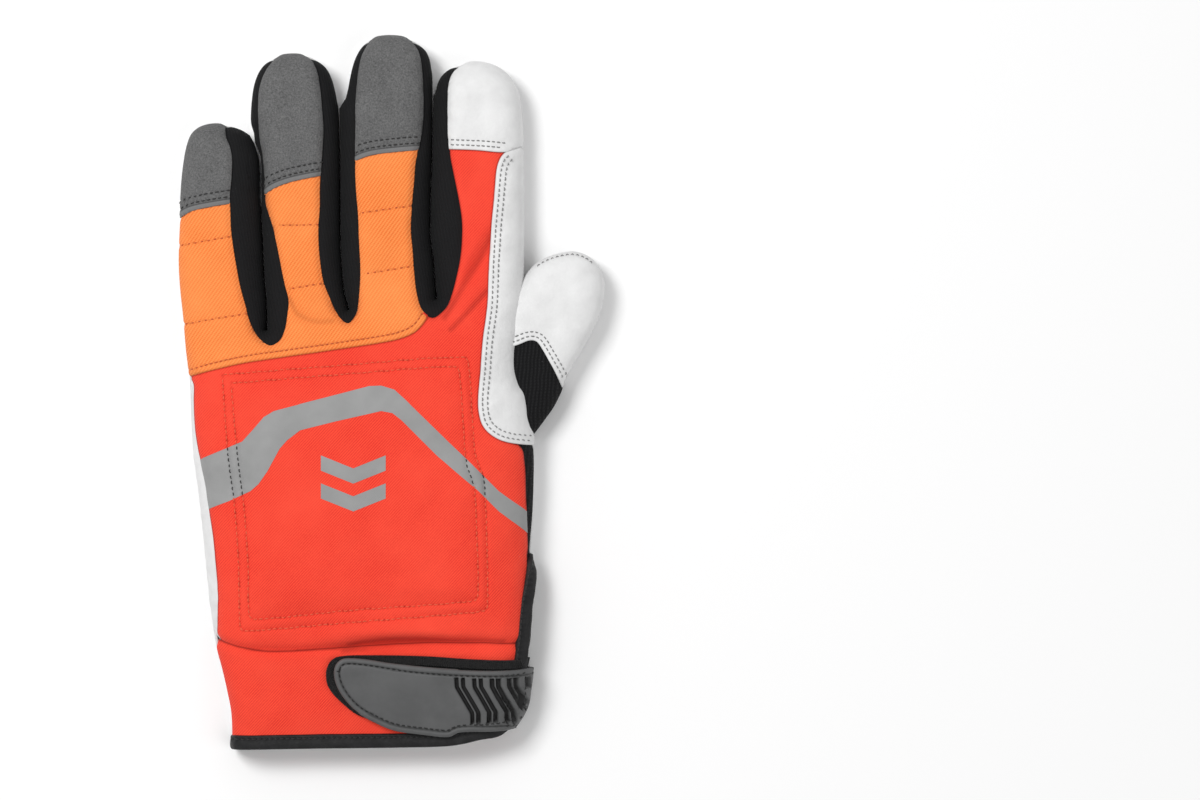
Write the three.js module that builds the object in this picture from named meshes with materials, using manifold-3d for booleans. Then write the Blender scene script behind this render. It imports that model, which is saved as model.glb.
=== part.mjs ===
// Left-hand chainsaw glove lying on its palm, back of the hand up.
// Millimetres. X runs across the hand to the thumb side, Y to the fingertips, Z up from the surface
// that the palm rests on. The origin is under the middle of the glove's box.

import * as THREE from "three";
import { mergeVertices } from "three/addons/utils/BufferGeometryUtils.js";
import Module from "manifold-3d";

// Driving dimensions of the hand
const HAND_LENGTH = 143;
const HAND_HEIGHT = 25;
const SEAM_HEIGHT = 8;
const WALL = 1.8;
const GAP = 0.3;

// Driving dimensions of the fingers and the thumb
const FINGER_HEIGHT = 19.5;
const LITTLE_LENGTH = 90;
const RING_LENGTH = 116;
const MIDDLE_LENGTH = 123;
const INDEX_LENGTH = 113;
const LITTLE_WIDTH = 30;
const RING_WIDTH = 30;
const MIDDLE_WIDTH = 34;
const INDEX_WIDTH = 33;
const THUMB_LENGTH = 76;
const THUMB_WIDTH = 31;
const THUMB_HEIGHT = 17;

// The palm is as wide as its four fingers side by side, less what the seams between them take up
const SEAM_TAKE = 1;
const PALM_WIDTH = LITTLE_WIDTH + RING_WIDTH + MIDDLE_WIDTH + INDEX_WIDTH - SEAM_TAKE;

// Driving dimensions of the trim
const BINDING_WIDTH = 5;
const BINDING_THICKNESS = 3.4;
const SLIT_LENGTH = 66;
const SLIT_HEIGHT = 10.5;
const SLIT_LIFT = 1.6;
const BACKING_THICKNESS = 1.3;
const TAB_THICKNESS = 2.6;
const RIDGE_HEIGHT = 0.8;
const RIDGE_WIDTH = 3;
const STRAP_LIFT = 0.9;
const STRAP_END_HEIGHT = 1.6;
const FILM_THICKNESS = 0.5;
const PAD_THICKNESS = 3.5;
const EMBLEM_WIDTH = 24;
const EMBLEM_BAR = 6;

// Fullness of the cross sections: 2 is an ellipse, larger is squarer
const BACK_FULLNESS = 2.4;
const PALM_FULLNESS = 3.2;
const TIP_FULLNESS = 2.3;
const TIP_LENGTH_SHARE = 1.2;
const TIP_RISE_POWER = 0.75;
const FLAT_DEPTH_SHARE = 1.12;

// Facets
const HAND_SIDES = 24;
const FINGER_SIDES = 14;
const TIP_STEPS = 4;
const TIP_OPEN_STEP = 0.35;
const TIP_ROW_CLEARANCE = 0.1;
const CURVE_STEPS = 8;
const STRIP_STEPS_PER_POINT = 1.1;
const BINDING_STEPS = 46;
const BINDING_SIDES = 6;
const FACET_TOLERANCE = 0.08;
const MERGE_DISTANCE = 1e-4;

// Heights above and below everything, and lengths past an end, for cutting tools
const ABOVE = HAND_HEIGHT * 2;
const BELOW = -HAND_HEIGHT;
const OVERRUN = WALL * 4;

// Hand sections. along: share of HAND_LENGTH from the cuff edge. left and right: shares of PALM_WIDTH
// from the hand's middle. top: share of HAND_HEIGHT. slant: how far a section leans to the fingertips
// for each millimetre to the thumb side.
const HAND_SECTIONS = [
  { along: 0, left: -0.385, right: 0.462, top: 0.68, slant: 0 },
  { along: 0.1, left: -0.389, right: 0.48, top: 0.78, slant: 0 },
  { along: 0.235, left: -0.415, right: 0.488, top: 0.84, slant: 0 },
  { along: 0.28, left: -0.424, right: 0.492, top: 0.8, slant: 0 },
  { along: 0.325, left: -0.433, right: 0.496, top: 0.95, slant: 0 },
  { along: 0.51, left: -0.46, right: 0.5, top: 1, slant: 0 },
  { along: 0.72, left: -0.488, right: 0.507, top: 1.02, slant: 0 },
  { along: 0.9, left: -0.503, right: 0.494, top: 1, slant: 0.04 },
  { along: 1.02, left: -0.515, right: 0.472, top: 0.95, slant: 0.12 },
  { along: 1.09, left: -0.52, right: 0.466, top: 0.85, slant: 0.18 },
  { along: 1.14, left: -0.52, right: 0.466, top: 0.66, slant: 0.2 },
  { along: 1.17, left: -0.52, right: 0.466, top: 0.45, slant: 0.2 },
];

// Fingers. root: share of PALM_WIDTH from the hand's middle. In rows, along is a share of the length,
// left and right are shares of the width from the root line, and top is a share of FINGER_HEIGHT.
const FINGERS = [
  {
    name: "little",
    length: LITTLE_LENGTH,
    width: LITTLE_WIDTH,
    root: -0.4,
    rows: [
      { along: -0.08, left: -0.45, right: 0.47, top: 0.78 },
      { along: 0.14, left: -0.52, right: 0.49, top: 1 },
      { along: 0.3, left: -0.56, right: 0.48, top: 1.03 },
      { along: 0.5, left: -0.57, right: 0.435, top: 1 },
      { along: 0.72, left: -0.545, right: 0.4, top: 0.97 },
      { along: 0.85, left: -0.51, right: 0.385, top: 0.92 },
    ],
  },
  {
    name: "ring",
    length: RING_LENGTH,
    width: RING_WIDTH,
    root: -0.155,
    rows: [
      { along: -0.06, left: -0.5, right: 0.5, top: 0.8 },
      { along: 0.1, left: -0.5, right: 0.51, top: 1.02 },
      { along: 0.22, left: -0.53, right: 0.47, top: 1.06 },
      { along: 0.4, left: -0.575, right: 0.39, top: 1.03 },
      { along: 0.66, left: -0.6, right: 0.385, top: 1 },
      { along: 0.83, left: -0.7, right: 0.37, top: 0.97 },
    ],
  },
  {
    name: "middle",
    length: MIDDLE_LENGTH,
    width: MIDDLE_WIDTH,
    root: 0.09,
    rows: [
      { along: -0.06, left: -0.49, right: 0.49, top: 0.8 },
      { along: 0.12, left: -0.5, right: 0.49, top: 1.04 },
      { along: 0.22, left: -0.52, right: 0.48, top: 1.08 },
      { along: 0.4, left: -0.57, right: 0.42, top: 1.05 },
      { along: 0.65, left: -0.57, right: 0.44, top: 1.02 },
      { along: 0.84, left: -0.48, right: 0.45, top: 0.98 },
    ],
  },
  {
    name: "index",
    length: INDEX_LENGTH,
    width: INDEX_WIDTH,
    root: 0.347,
    rows: [
      { along: -0.06, left: -0.47, right: 0.47, top: 0.8 },
      { along: 0.12, left: -0.48, right: 0.485, top: 1.02 },
      { along: 0.24, left: -0.48, right: 0.49, top: 1.06 },
      { along: 0.4, left: -0.53, right: 0.49, top: 1.03 },
      { along: 0.66, left: -0.515, right: 0.485, top: 1 },
      { along: 0.84, left: -0.5, right: 0.47, top: 0.97 },
    ],
  },
];

// Thumb. It leaves the side of the hand below the index finger and lies beside it.
// along is a share of THUMB_LENGTH, left and right are shares of THUMB_WIDTH from the hand's side.
const THUMB_BASE_ALONG = 0.775;
const THUMB_SIDE = 0.478;
const THUMB_SECTIONS = [
  { along: 0, left: -0.55, right: -0.05, top: 0.6 },
  { along: 0.12, left: -0.55, right: 0.14, top: 0.76 },
  { along: 0.26, left: -0.5, right: 0.33, top: 0.9 },
  { along: 0.42, left: -0.36, right: 0.55, top: 0.97 },
  { along: 0.5, left: -0.2, right: 0.66, top: 0.98 },
  { along: 0.57, left: 0, right: 0.78, top: 1 },
  { along: 0.7, left: 0.01, right: 0.92, top: 1 },
  { along: 0.8, left: 0.01, right: 0.99, top: 0.97 },
];

// Seams between the back of each finger and the knit strips beside it. along is a share of the finger's
// length, across is a share of its half width there.
const FINGER_SEAMS = {
  little: {
    right: [[0.11, 0.93], [0.15, 0.76], [0.21, 0.62], [0.31, 0.48], [0.45, 0.38], [0.6, 0.27], [0.72, 0.26],
      [0.85, 0.28], [0.96, 0.1], [1.06, 0.1]],
  },
  ring: {
    left: [[0.08, -0.95], [0.12, -0.85], [0.16, -0.7], [0.24, -0.58], [0.4, -0.6], [0.58, -0.64],
      [0.7, -0.74],
      [0.8, -0.6], [0.9, -0.56], [0.97, -0.6], [1.03, -0.5]],
    right: [[0.13, 0.95], [0.17, 0.7], [0.21, 0.5], [0.32, 0.48], [0.5, 0.52], [0.66, 0.6], [0.78, 0.65],
      [0.9, 0.66], [0.97, 0.62], [1.03, 0.5]],
  },
  middle: {
    left: [[0.15, -0.9], [0.19, -0.74], [0.24, -0.66], [0.36, -0.57], [0.52, -0.58], [0.7, -0.64],
      [0.82, -0.68],
      [0.93, -0.7], [0.98, -0.6], [1.03, -0.55]],
    right: [[0.13, 0.92], [0.19, 0.68], [0.28, 0.56], [0.4, 0.56], [0.56, 0.63], [0.7, 0.72], [0.82, 0.8],
      [0.92, 0.74], [0.98, 0.6], [1.03, 0.55]],
  },
  index: {
    left: [[0.15, -0.92], [0.19, -0.66], [0.25, -0.5], [0.36, -0.4], [0.5, -0.36], [0.62, -0.46],
      [0.72, -0.62],
      [0.86, -0.64], [0.95, -0.5], [0.99, -0.3], [1.04, -0.3]],
  },
};

// Lower edge of each fingertip cap, from its left end to its right end, as along shares
const CAP_SEAMS = {
  little: [[0.62, -1.3], [0.635, -0.6], [0.67, 0], [0.69, 0.35]],
  ring: [[0.535, -0.97], [0.585, -0.3], [0.605, 0.1], [0.618, 0.97]],
  middle: [[0.61, -0.97], [0.645, -0.3], [0.655, 0.1], [0.67, 0.97]],
  index: [[0.722, -0.97], [0.716, -0.2], [0.713, 0.25], [0.704, 0.62]],
};

// Crotches of the knit strips on the back of the hand: shares of PALM_WIDTH and HAND_LENGTH
const CROTCHES = {
  little_ring: { x: -0.262, y: 1.054 },
  ring_middle: { x: -0.036, y: 1.112 },
  middle_index: { x: 0.214, y: 1.13 },
};

// Seams on the hand: x is a share of PALM_WIDTH from its middle, y a share of HAND_LENGTH
const KNUCKLE_SEAM = [[-0.62, 0.96], [-0.509, 0.973], [-0.417, 0.994], [-0.333, 1.009], [-0.229, 1.023],
  [-0.125, 1.035], [-0.024, 1.049], [0.054, 1.059], [0.113, 1.07], [0.158, 1.086], [0.185, 1.107],
  [0.208, 1.14]];
const OUTER_SEAM = [[-0.62, 0.97], [-0.505, 0.972], [-0.497, 0.93], [-0.494, 0.85], [-0.48, 0.77],
  [-0.458, 0.65],
  [-0.441, 0.58], [-0.426, 0.42], [-0.428, 0.35], [-0.423, 0.286], [-0.62, 0.286]];
const CUFF_SEAM = [[-0.62, 0.29], [-0.42, 0.286], [-0.26, 0.262], [0.02, 0.272], [0.21, 0.278],
  [0.6, 0.279]];
const SIDE_PANEL_ON_HAND = [[0.353, 0.96], [0.35, 0.9], [0.357, 0.868], [0.375, 0.838], [0.41, 0.812],
  [0.465, 0.798], [0.6, 0.794]];
const WRIST_PANEL_EDGE = [[0.481, 0.82], [0.481, 0.797], [0.491, 0.72], [0.494, 0.61], [0.499, 0.5]];
const WRIST_PANEL_END = [[0.47, 0.5], [0.7, 0.5]];

// Leather side panel of the index finger: its edge on the finger and the seam across its top, as shares
// of the finger's length and half width
const SIDE_PANEL_ON_FINGER = [[0.704, 0.62], [0.658, 0.45], [0.544, 0.38], [0.43, 0.33], [0.304, 0.27],
  [0.165, 0.21], [0.05, 0.12]];
const SIDE_PANEL_TOP = [[0.704, 0.62], [0.724, 0.96], [0.724, 1.6]];

// Seam between the thumb's leather and its knit: shares of THUMB_WIDTH from the hand's side and THUMB_LENGTH
const THUMB_SEAM = [[-0.317, 0.518], [-0.057, 0.531], [0.09, 0.55], [0.187, 0.542], [0.297, 0.472],
  [0.39, 0.414], [0.488, 0.339], [0.9, 0.292]];

// Slit at the thumb side of the wrist, a long drop seen from that side: how far it is open at each share of
// its length. Its cutter starts inside the hand, at a share of PALM_WIDTH from the middle.
const SLIT_ROWS = [
  { along: 0, opening: 0.62 },
  { along: 0.3, opening: 0.72 },
  { along: 0.6, opening: 0.9 },
  { along: 0.8, opening: 1 },
  { along: 0.92, opening: 0.8 },
];
const SLIT_CUT_START = 0.3;

// Saw-protection pad under the back panel, shares of PALM_WIDTH and HAND_LENGTH
const PAD_OUTLINE = [[-0.402, 0.978], [0.318, 1.024], [0.342, 0.768], [0.372, 0.7], [0.375, 0.367],
  [0.3, 0.36],
  [-0.348, 0.314], [-0.386, 0.784]];

// Reflective stripe across the back, its two edges from the little-finger side to the thumb side
const STRIPE_UPPER = [[-0.476, 0.757], [-0.342, 0.804], [-0.28, 0.868], [-0.25, 0.883], [0.03, 0.949],
  [0.066, 0.949], [0.104, 0.944], [0.137, 0.912], [0.262, 0.804], [0.411, 0.676], [0.455, 0.648],
  [0.488, 0.624]];
const STRIPE_LOWER = [[0.491, 0.571], [0.411, 0.624], [0.232, 0.768], [0.125, 0.86], [0.098, 0.879],
  [0.065, 0.884], [-0.173, 0.834], [-0.211, 0.808], [-0.268, 0.729], [-0.318, 0.677], [-0.449, 0.629]];

// Plain chevron mark below the stripe: place of its lower point and rise of its arms
const EMBLEM_X = -0.02;
const EMBLEM_Y = 0.62;
const EMBLEM_RISE = 0.4;
const EMBLEM_PITCH = 1.75;

// Strap over the cuff, outlines in shares of PALM_WIDTH and HAND_LENGTH
const TAB_OUTLINE = [[-0.074, 0.214], [-0.05, 0.246], [0.012, 0.243], [0.103, 0.231], [0.24, 0.218],
  [0.6, 0.222],
  [0.6, 0.1], [0.5, 0.086], [0.399, 0.058], [0.295, 0.055], [0.262, 0.041], [0.194, 0.047], [0.103, 0.059],
  [0.036, 0.084], [-0.012, 0.104], [-0.048, 0.136], [-0.068, 0.17]];
const BACKING_OUTLINE = [[-0.098, 0.208], [-0.083, 0.235], [-0.065, 0.247], [0.012, 0.251], [0.193, 0.249],
  [0.33, 0.241], [0.6, 0.234], [0.6, 0.112], [0.48, 0.096], [0.38, 0.072], [0.26, 0.056], [0.1, 0.072],
  [-0.01, 0.114], [-0.074, 0.154], [-0.09, 0.18]];

// Ridges of the strap's tab: the first one's place and their pitch, in shares of PALM_WIDTH, and the bent
// line that each follows, as a shift across in shares of PALM_WIDTH and a place in shares of HAND_LENGTH
const RIDGE_COUNT = 5;
const RIDGE_FIRST = 0.298;
const RIDGE_PITCH = 0.046;
const RIDGE_LINE = [[0, 0.2], [0, 0.185], [0.04, 0.105], [0.04, 0.09]];

const wasm = await Module();
wasm.setup();

// A point on the plan of the hand from its shares
function handPoint([x, y]) {
  return [x * PALM_WIDTH, y * HAND_LENGTH];
}

// Smooth open curve through plan points
function smooth(points) {
  const curve = new THREE.SplineCurve(points.map(([x, y]) => new THREE.Vector2(x, y)));
  const count = Math.max(CURVE_STEPS, points.length);
  return curve.getPoints(count).map((p) => [p.x, p.y]);
}

// Closed triangle mesh to a solid
function toSolid(geometry) {
  const bare = geometry.clone();
  bare.deleteAttribute("normal");
  bare.deleteAttribute("uv");
  const merged = mergeVertices(bare, MERGE_DISTANCE);
  return new wasm.Manifold(new wasm.Mesh({
    numProp: 3,
    vertProperties: new Float32Array(merged.attributes.position.array),
    triVerts: new Uint32Array(merged.index.array),
  }));
}

// Solid back to a geometry
function toGeometry(solid) {
  const mesh = solid.getMesh();
  const geometry = new THREE.BufferGeometry();
  geometry.setAttribute("position", new THREE.BufferAttribute(new Float32Array(mesh.vertProperties), 3));
  geometry.setIndex(new THREE.BufferAttribute(new Uint32Array(mesh.triVerts), 1));
  const flat = geometry.toNonIndexed();
  flat.computeVertexNormals();
  return flat;
}

function power(value, exponent) {
  return Math.sign(value) * Math.abs(value) ** exponent;
}

// Rings of points joined into one closed skin, with a fan over each end
function skin(rings) {
  const sides = rings[0].length;
  const vertices = rings.flat();
  const faces = [];
  for (let i = 0; i < rings.length - 1; i += 1) {
    for (let j = 0; j < sides; j += 1) {
      const a = i * sides + j;
      const b = i * sides + ((j + 1) % sides);
      const c = a + sides;
      const d = b + sides;
      faces.push(a, b, d, a, d, c);
    }
  }
  [0, rings.length - 1].forEach((ringIndex) => {
    const centre = new THREE.Vector3();
    rings[ringIndex].forEach((p) => centre.add(p));
    vertices.push(centre.divideScalar(sides));
    const hub = vertices.length - 1;
    for (let j = 0; j < sides; j += 1) {
      const a = ringIndex * sides + j;
      const b = ringIndex * sides + ((j + 1) % sides);
      if (ringIndex === 0) faces.push(hub, b, a);
      else faces.push(hub, a, b);
    }
  });
  const geometry = new THREE.BufferGeometry().setFromPoints(vertices);
  geometry.setIndex(faces);
  return toSolid(geometry);
}

// One ring of the glove's form: full above the seam, flattened on the surface below it
function formRing(section, sides) {
  const centre = (section.left + section.right) / 2;
  const half = (section.right - section.left) / 2;
  const points = [];
  for (let j = 0; j < sides; j += 1) {
    const angle = (2 * Math.PI * j) / sides;
    const upper = Math.sin(angle) >= 0;
    const fullness = 2 / (upper ? BACK_FULLNESS : PALM_FULLNESS);
    const reach = upper ? section.top - SEAM_HEIGHT : (SEAM_HEIGHT - section.floor) * FLAT_DEPTH_SHARE;
    const x = centre + half * power(Math.cos(angle), fullness);
    const z = SEAM_HEIGHT + reach * power(Math.sin(angle), fullness);
    points.push(new THREE.Vector3(x, section.y + section.slant * x, Math.max(z, section.floor)));
  }
  return points;
}

// Hand without fingers, grown by an offset or shrunk by a negative one
function handForm(offset, overrun = 0) {
  const rings = HAND_SECTIONS.map((row, index) => {
    const last = index === HAND_SECTIONS.length - 1;
    const shift = index === 0 ? -overrun : 0;
    return formRing({
      y: row.along * HAND_LENGTH + shift + (last ? offset : 0),
      slant: row.slant,
      left: row.left * PALM_WIDTH - offset,
      right: row.right * PALM_WIDTH + offset,
      top: row.top * HAND_HEIGHT + offset,
      floor: Math.max(-offset, 0) - Math.max(offset, 0),
    }, HAND_SIDES);
  });
  return skin(rings.reverse());
}

// Value of a column between the rows of a section table
function between(rows, along, column) {
  const next = rows.findIndex((row) => row.along >= along);
  if (next === 0) return rows[0][column];
  if (next < 0) return rows[rows.length - 1][column];
  const low = rows[next - 1];
  const high = rows[next];
  const share = (along - low.along) / (high.along - low.along);
  return low[column] + share * (high[column] - low[column]);
}

// Tube with a round tip: rows up to the start of the tip, then rings that close on it
function tubeForm(tube, offset) {
  const length = tube.length + offset;
  const last = tube.rows[tube.rows.length - 1];
  const tipHalf = ((last.right - last.left) / 2) * tube.width;
  const tipLength = tipHalf * TIP_LENGTH_SHARE;
  const tipStart = length - tipLength;
  const lastRow = tipStart - tipLength * TIP_ROW_CLEARANCE;
  const rowsBelow = tube.rows.filter((row) => row.along * tube.length < lastRow);
  const stations = rowsBelow.map((row) => ({ y: row.along * tube.length, closing: 1 }));
  for (let step = 0; step <= TIP_STEPS; step += 1) {
    const share = Math.sin((step / (TIP_STEPS + TIP_OPEN_STEP)) * (Math.PI / 2));
    stations.push({
      y: tipStart + tipLength * share,
      closing: (1 - share ** TIP_FULLNESS) ** (1 / TIP_FULLNESS),
    });
  }
  const rings = stations.map(({ y, closing }) => {
    const along = y / tube.length;
    const left = between(tube.rows, along, "left") * tube.width - offset;
    const right = between(tube.rows, along, "right") * tube.width + offset;
    const middle = (left + right) / 2;
    const half = ((right - left) / 2) * closing;
    const top = between(tube.rows, along, "top") * tube.height + offset;
    const floor = Math.max(-offset, 0) - Math.max(offset, 0);
    const rise = closing ** TIP_RISE_POWER;
    return formRing({
      y: tube.y + y,
      slant: 0,
      left: tube.x + middle - half,
      right: tube.x + middle + half,
      top: SEAM_HEIGHT + (top - SEAM_HEIGHT) * rise,
      floor: SEAM_HEIGHT - (SEAM_HEIGHT - floor) * rise,
    }, FINGER_SIDES);
  });
  return skin(rings.reverse());
}

const fingerTubes = FINGERS.map((finger) => ({
  ...finger,
  height: FINGER_HEIGHT,
  x: finger.root * PALM_WIDTH,
  y: HAND_LENGTH,
}));

const thumbTube = {
  length: THUMB_LENGTH,
  width: THUMB_WIDTH,
  height: THUMB_HEIGHT,
  x: THUMB_SIDE * PALM_WIDTH,
  y: THUMB_BASE_ALONG * HAND_LENGTH,
  rows: THUMB_SECTIONS,
};

function joined(solids) {
  return solids.reduce((sum, solid) => sum.add(solid));
}

// Hand with its four fingers
function gloveForm(offset, overrun = 0) {
  return joined([handForm(offset, overrun), ...fingerTubes.map((tube) => tubeForm(tube, offset))]);
}

// Upright prism over a plan outline
function prism(points, low, high) {
  const shape = new THREE.Shape(points.map(([x, y]) => new THREE.Vector2(x, y)));
  const geometry = new THREE.ExtrudeGeometry(shape, { depth: high - low, bevelEnabled: false });
  geometry.translate(0, 0, low);
  return toSolid(geometry);
}

// Upright thin wall of even width along a plan line, which cuts the gap of a seam
function blade(points, low = SEAM_HEIGHT - GAP / 2) {
  const walls = points.slice(1).map((end, index) => {
    const start = points[index];
    const run = new THREE.Vector2(end[0] - start[0], end[1] - start[1]).setLength(GAP / 2);
    const side = [-run.y, run.x];
    return prism([
      [start[0] - run.x - side[0], start[1] - run.y - side[1]],
      [end[0] + run.x - side[0], end[1] + run.y - side[1]],
      [end[0] + run.x + side[0], end[1] + run.y + side[1]],
      [start[0] - run.x + side[0], start[1] - run.y + side[1]],
    ], low, ABOVE);
  });
  return joined(walls);
}

// Plan point on a finger from its along and across shares
function fingerPoint(name, [along, across]) {
  const tube = fingerTubes.find((entry) => entry.name === name);
  const left = between(tube.rows, along, "left") * tube.width;
  const right = between(tube.rows, along, "right") * tube.width;
  return [tube.x + (left + right) / 2 + (across * (right - left)) / 2, tube.y + along * tube.length];
}

function fingerLine(name, rows) {
  return rows.map((row) => fingerPoint(name, row));
}

// Knit strip between two fingers: up one finger from the crotch, and back down the other
function knitStripLine(leftName, rightName) {
  const crotch = handPoint(Object.values(CROTCHES[`${leftName}_${rightName}`]));
  const onLeft = fingerLine(leftName, FINGER_SEAMS[leftName].right);
  const onRight = fingerLine(rightName, FINGER_SEAMS[rightName].left);
  return smoothStrip([...onLeft.reverse(), crotch, ...onRight]);
}

function smoothStrip(points) {
  const curve = new THREE.CatmullRomCurve3(
    points.map(([x, y]) => new THREE.Vector3(x, y, 0)),
    false,
    "centripetal",
  );
  return curve.getPoints(Math.round(points.length * STRIP_STEPS_PER_POINT)).map((p) => [p.x, p.y]);
}

const knitStrips = [["little", "ring"], ["ring", "middle"], ["middle", "index"]].map(([left, right]) => ({
  name: `fourchette_${left}_${right}`,
  line: knitStripLine(left, right),
}));

const knuckleLine = smooth(KNUCKLE_SEAM.map(handPoint));
const outerLine = OUTER_SEAM.map(handPoint);
const cuffLine = smooth(CUFF_SEAM.map(handPoint));
const sidePanelLine = smoothStrip([
  ...fingerLine("index", SIDE_PANEL_ON_FINGER),
  ...SIDE_PANEL_ON_HAND.map(handPoint),
]);
const sideTopLine = fingerLine("index", SIDE_PANEL_TOP);
const wristLine = WRIST_PANEL_EDGE.map(handPoint);
const wristEndLine = WRIST_PANEL_END.map(handPoint);
const thumbLine = smooth(THUMB_SEAM.map(([across, along]) => [
  THUMB_SIDE * PALM_WIDTH + across * THUMB_WIDTH,
  THUMB_BASE_ALONG * HAND_LENGTH + along * THUMB_LENGTH,
]));
const capLines = Object.fromEntries(
  Object.entries(CAP_SEAMS).map(([name, rows]) => [name, fingerLine(name, rows)]),
);

// Outer skin less the hollow, still in one piece
const farSide = PALM_WIDTH;
const fingerEnd = HAND_LENGTH + Math.max(...fingerTubes.map((tube) => tube.length)) + OVERRUN;
const thumbHollow = tubeForm(thumbTube, -WALL);
const shell = gloveForm(0).subtract(gloveForm(-WALL, OVERRUN)).subtract(thumbHollow);

const slitLevel = SEAM_HEIGHT + SLIT_LIFT;

function slitEdge(side) {
  return SLIT_ROWS.map(({ along, opening }) => [along * SLIT_LENGTH, (side * opening * SLIT_HEIGHT) / 2]);
}

function slitCutter() {
  const [first] = slitEdge(1);
  const outline = [[-OVERRUN, first[1]], ...slitEdge(1), [SLIT_LENGTH, 0], ...slitEdge(-1).reverse(),
    [-OVERRUN, -first[1]]];
  const upright = prism(outline, 0, farSide).rotate([90, 0, 90]);
  return upright.translate([PALM_WIDTH * SLIT_CUT_START, 0, slitLevel]);
}

// Half sizes and middle of the hand's section at a place along it, on the back's side or the palm's
function sectionAt(y, isBack) {
  const along = y / HAND_LENGTH;
  const left = between(HAND_SECTIONS, along, "left") * PALM_WIDTH;
  const right = between(HAND_SECTIONS, along, "right") * PALM_WIDTH;
  const top = between(HAND_SECTIONS, along, "top") * HAND_HEIGHT;
  return {
    middle: (left + right) / 2,
    half: (right - left) / 2,
    reach: isBack ? top - SEAM_HEIGHT : SEAM_HEIGHT * FLAT_DEPTH_SHARE,
    fullness: isBack ? BACK_FULLNESS : PALM_FULLNESS,
  };
}

// Point on the thumb side of the hand at a place along it and a height, inset from the skin
function sidePoint(y, z, inset) {
  const { middle, half, reach, fullness } = sectionAt(y, z > SEAM_HEIGHT);
  const level = Math.min(Math.abs(z - SEAM_HEIGHT) / reach, 1);
  return new THREE.Vector3(middle + half * (1 - level ** fullness) ** (1 / fullness) - inset, y, z);
}

// Direction straight out of the hand at a point near its skin
function outwardAt(point) {
  const { middle, half, reach, fullness } = sectionAt(point.y, point.z > SEAM_HEIGHT);
  const across = (point.x - middle) / half;
  const level = (point.z - SEAM_HEIGHT) / reach;
  return new THREE.Vector3(
    power(across, fullness - 1) / half,
    0,
    power(level, fullness - 1) / reach,
  ).normalize();
}

// Edge binding: round the cuff's edge, then up one side of the slit and down the other
function bindingPath() {
  const inset = WALL / 2;
  const first = HAND_SECTIONS[0];
  const edge = formRing({
    y: BINDING_WIDTH / 2,
    slant: 0,
    left: first.left * PALM_WIDTH + inset,
    right: first.right * PALM_WIDTH - inset,
    top: first.top * HAND_HEIGHT - inset,
    floor: BINDING_THICKNESS / 2,
  }, HAND_SIDES);
  const [upper, lower] = [1, -1].map((side) => slitEdge(side).map(([y, z]) => (
    sidePoint(Math.max(y, BINDING_WIDTH / 2), slitLevel + z, inset)
  )));
  const clear = (p) => p.x < 0 || p.z > upper[0].z + inset || p.z < lower[0].z - inset;
  const cuff = edge.filter(clear).sort((p, q) => (
    Math.atan2(p.z - slitLevel, p.x) - Math.atan2(q.z - slitLevel, q.x)
  ));
  const firstUp = cuff.findIndex((p) => p.z > slitLevel);
  const around = [...cuff.slice(firstUp), ...cuff.slice(0, firstUp)];
  return [...around, ...lower, sidePoint(SLIT_LENGTH, slitLevel, inset), ...upper.reverse()];
}

const bindingCurve = new THREE.CatmullRomCurve3(bindingPath(), true, "centripetal");

function bindingForm(grow) {
  const rings = Array.from({ length: BINDING_STEPS }, (_, index) => {
    const point = bindingCurve.getPoint(index / BINDING_STEPS);
    const run = bindingCurve.getTangent(index / BINDING_STEPS);
    const outward = outwardAt(point);
    const normal = outward.addScaledVector(run, -outward.dot(run)).normalize();
    const edgeway = new THREE.Vector3().crossVectors(run, normal);
    return Array.from({ length: BINDING_SIDES }, (unused, side) => {
      const angle = (2 * Math.PI * (side + 0.5)) / BINDING_SIDES;
      return point.clone()
        .addScaledVector(normal, (BINDING_THICKNESS / 2 + grow) * Math.cos(angle))
        .addScaledVector(edgeway, (BINDING_WIDTH / 2 + grow) * Math.sin(angle));
    });
  });
  return joined(rings.map((ring, index) => skin([ring, rings[(index + 1) % rings.length]])));
}

const group = new THREE.Group();

const FINISHES = {
  knuckle_orange: new THREE.MeshStandardMaterial({ color: 0xff823c, roughness: 0.85, metalness: 0 }),
  back_red: new THREE.MeshStandardMaterial({ color: 0xfa4834, roughness: 0.85, metalness: 0 }),
  goat_leather: new THREE.MeshStandardMaterial({ color: 0xebebeb, roughness: 0.6, metalness: 0 }),
  grey_suede: new THREE.MeshStandardMaterial({ color: 0x6a6a6a, roughness: 0.9, metalness: 0 }),
  black_knit: new THREE.MeshStandardMaterial({ color: 0x1c1c1c, roughness: 0.95, metalness: 0 }),
  black_tape: new THREE.MeshStandardMaterial({ color: 0x303030, roughness: 0.7, metalness: 0 }),
  grey_rubber: new THREE.MeshStandardMaterial({ color: 0x5c5c5c, roughness: 0.6, metalness: 0 }),
  reflective_grey: new THREE.MeshStandardMaterial({ color: 0x919291, roughness: 0.5, metalness: 0.2 }),
  pad_white: new THREE.MeshStandardMaterial({ color: 0xe8e8e0, roughness: 0.95, metalness: 0 }),
};

// Largest body of a solid, without crumbs and pockets left by the cutters
function mainBody(solid) {
  const bodies = solid.decompose().sort((a, b) => b.volume() - a.volume());
  return bodies[0].simplify(FACET_TOLERANCE);
}

function addPiece(name, solid, finish) {
  const mesh = new THREE.Mesh(toGeometry(mainBody(solid)), FINISHES[finish]);
  mesh.name = name;
  group.add(mesh);
}

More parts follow.
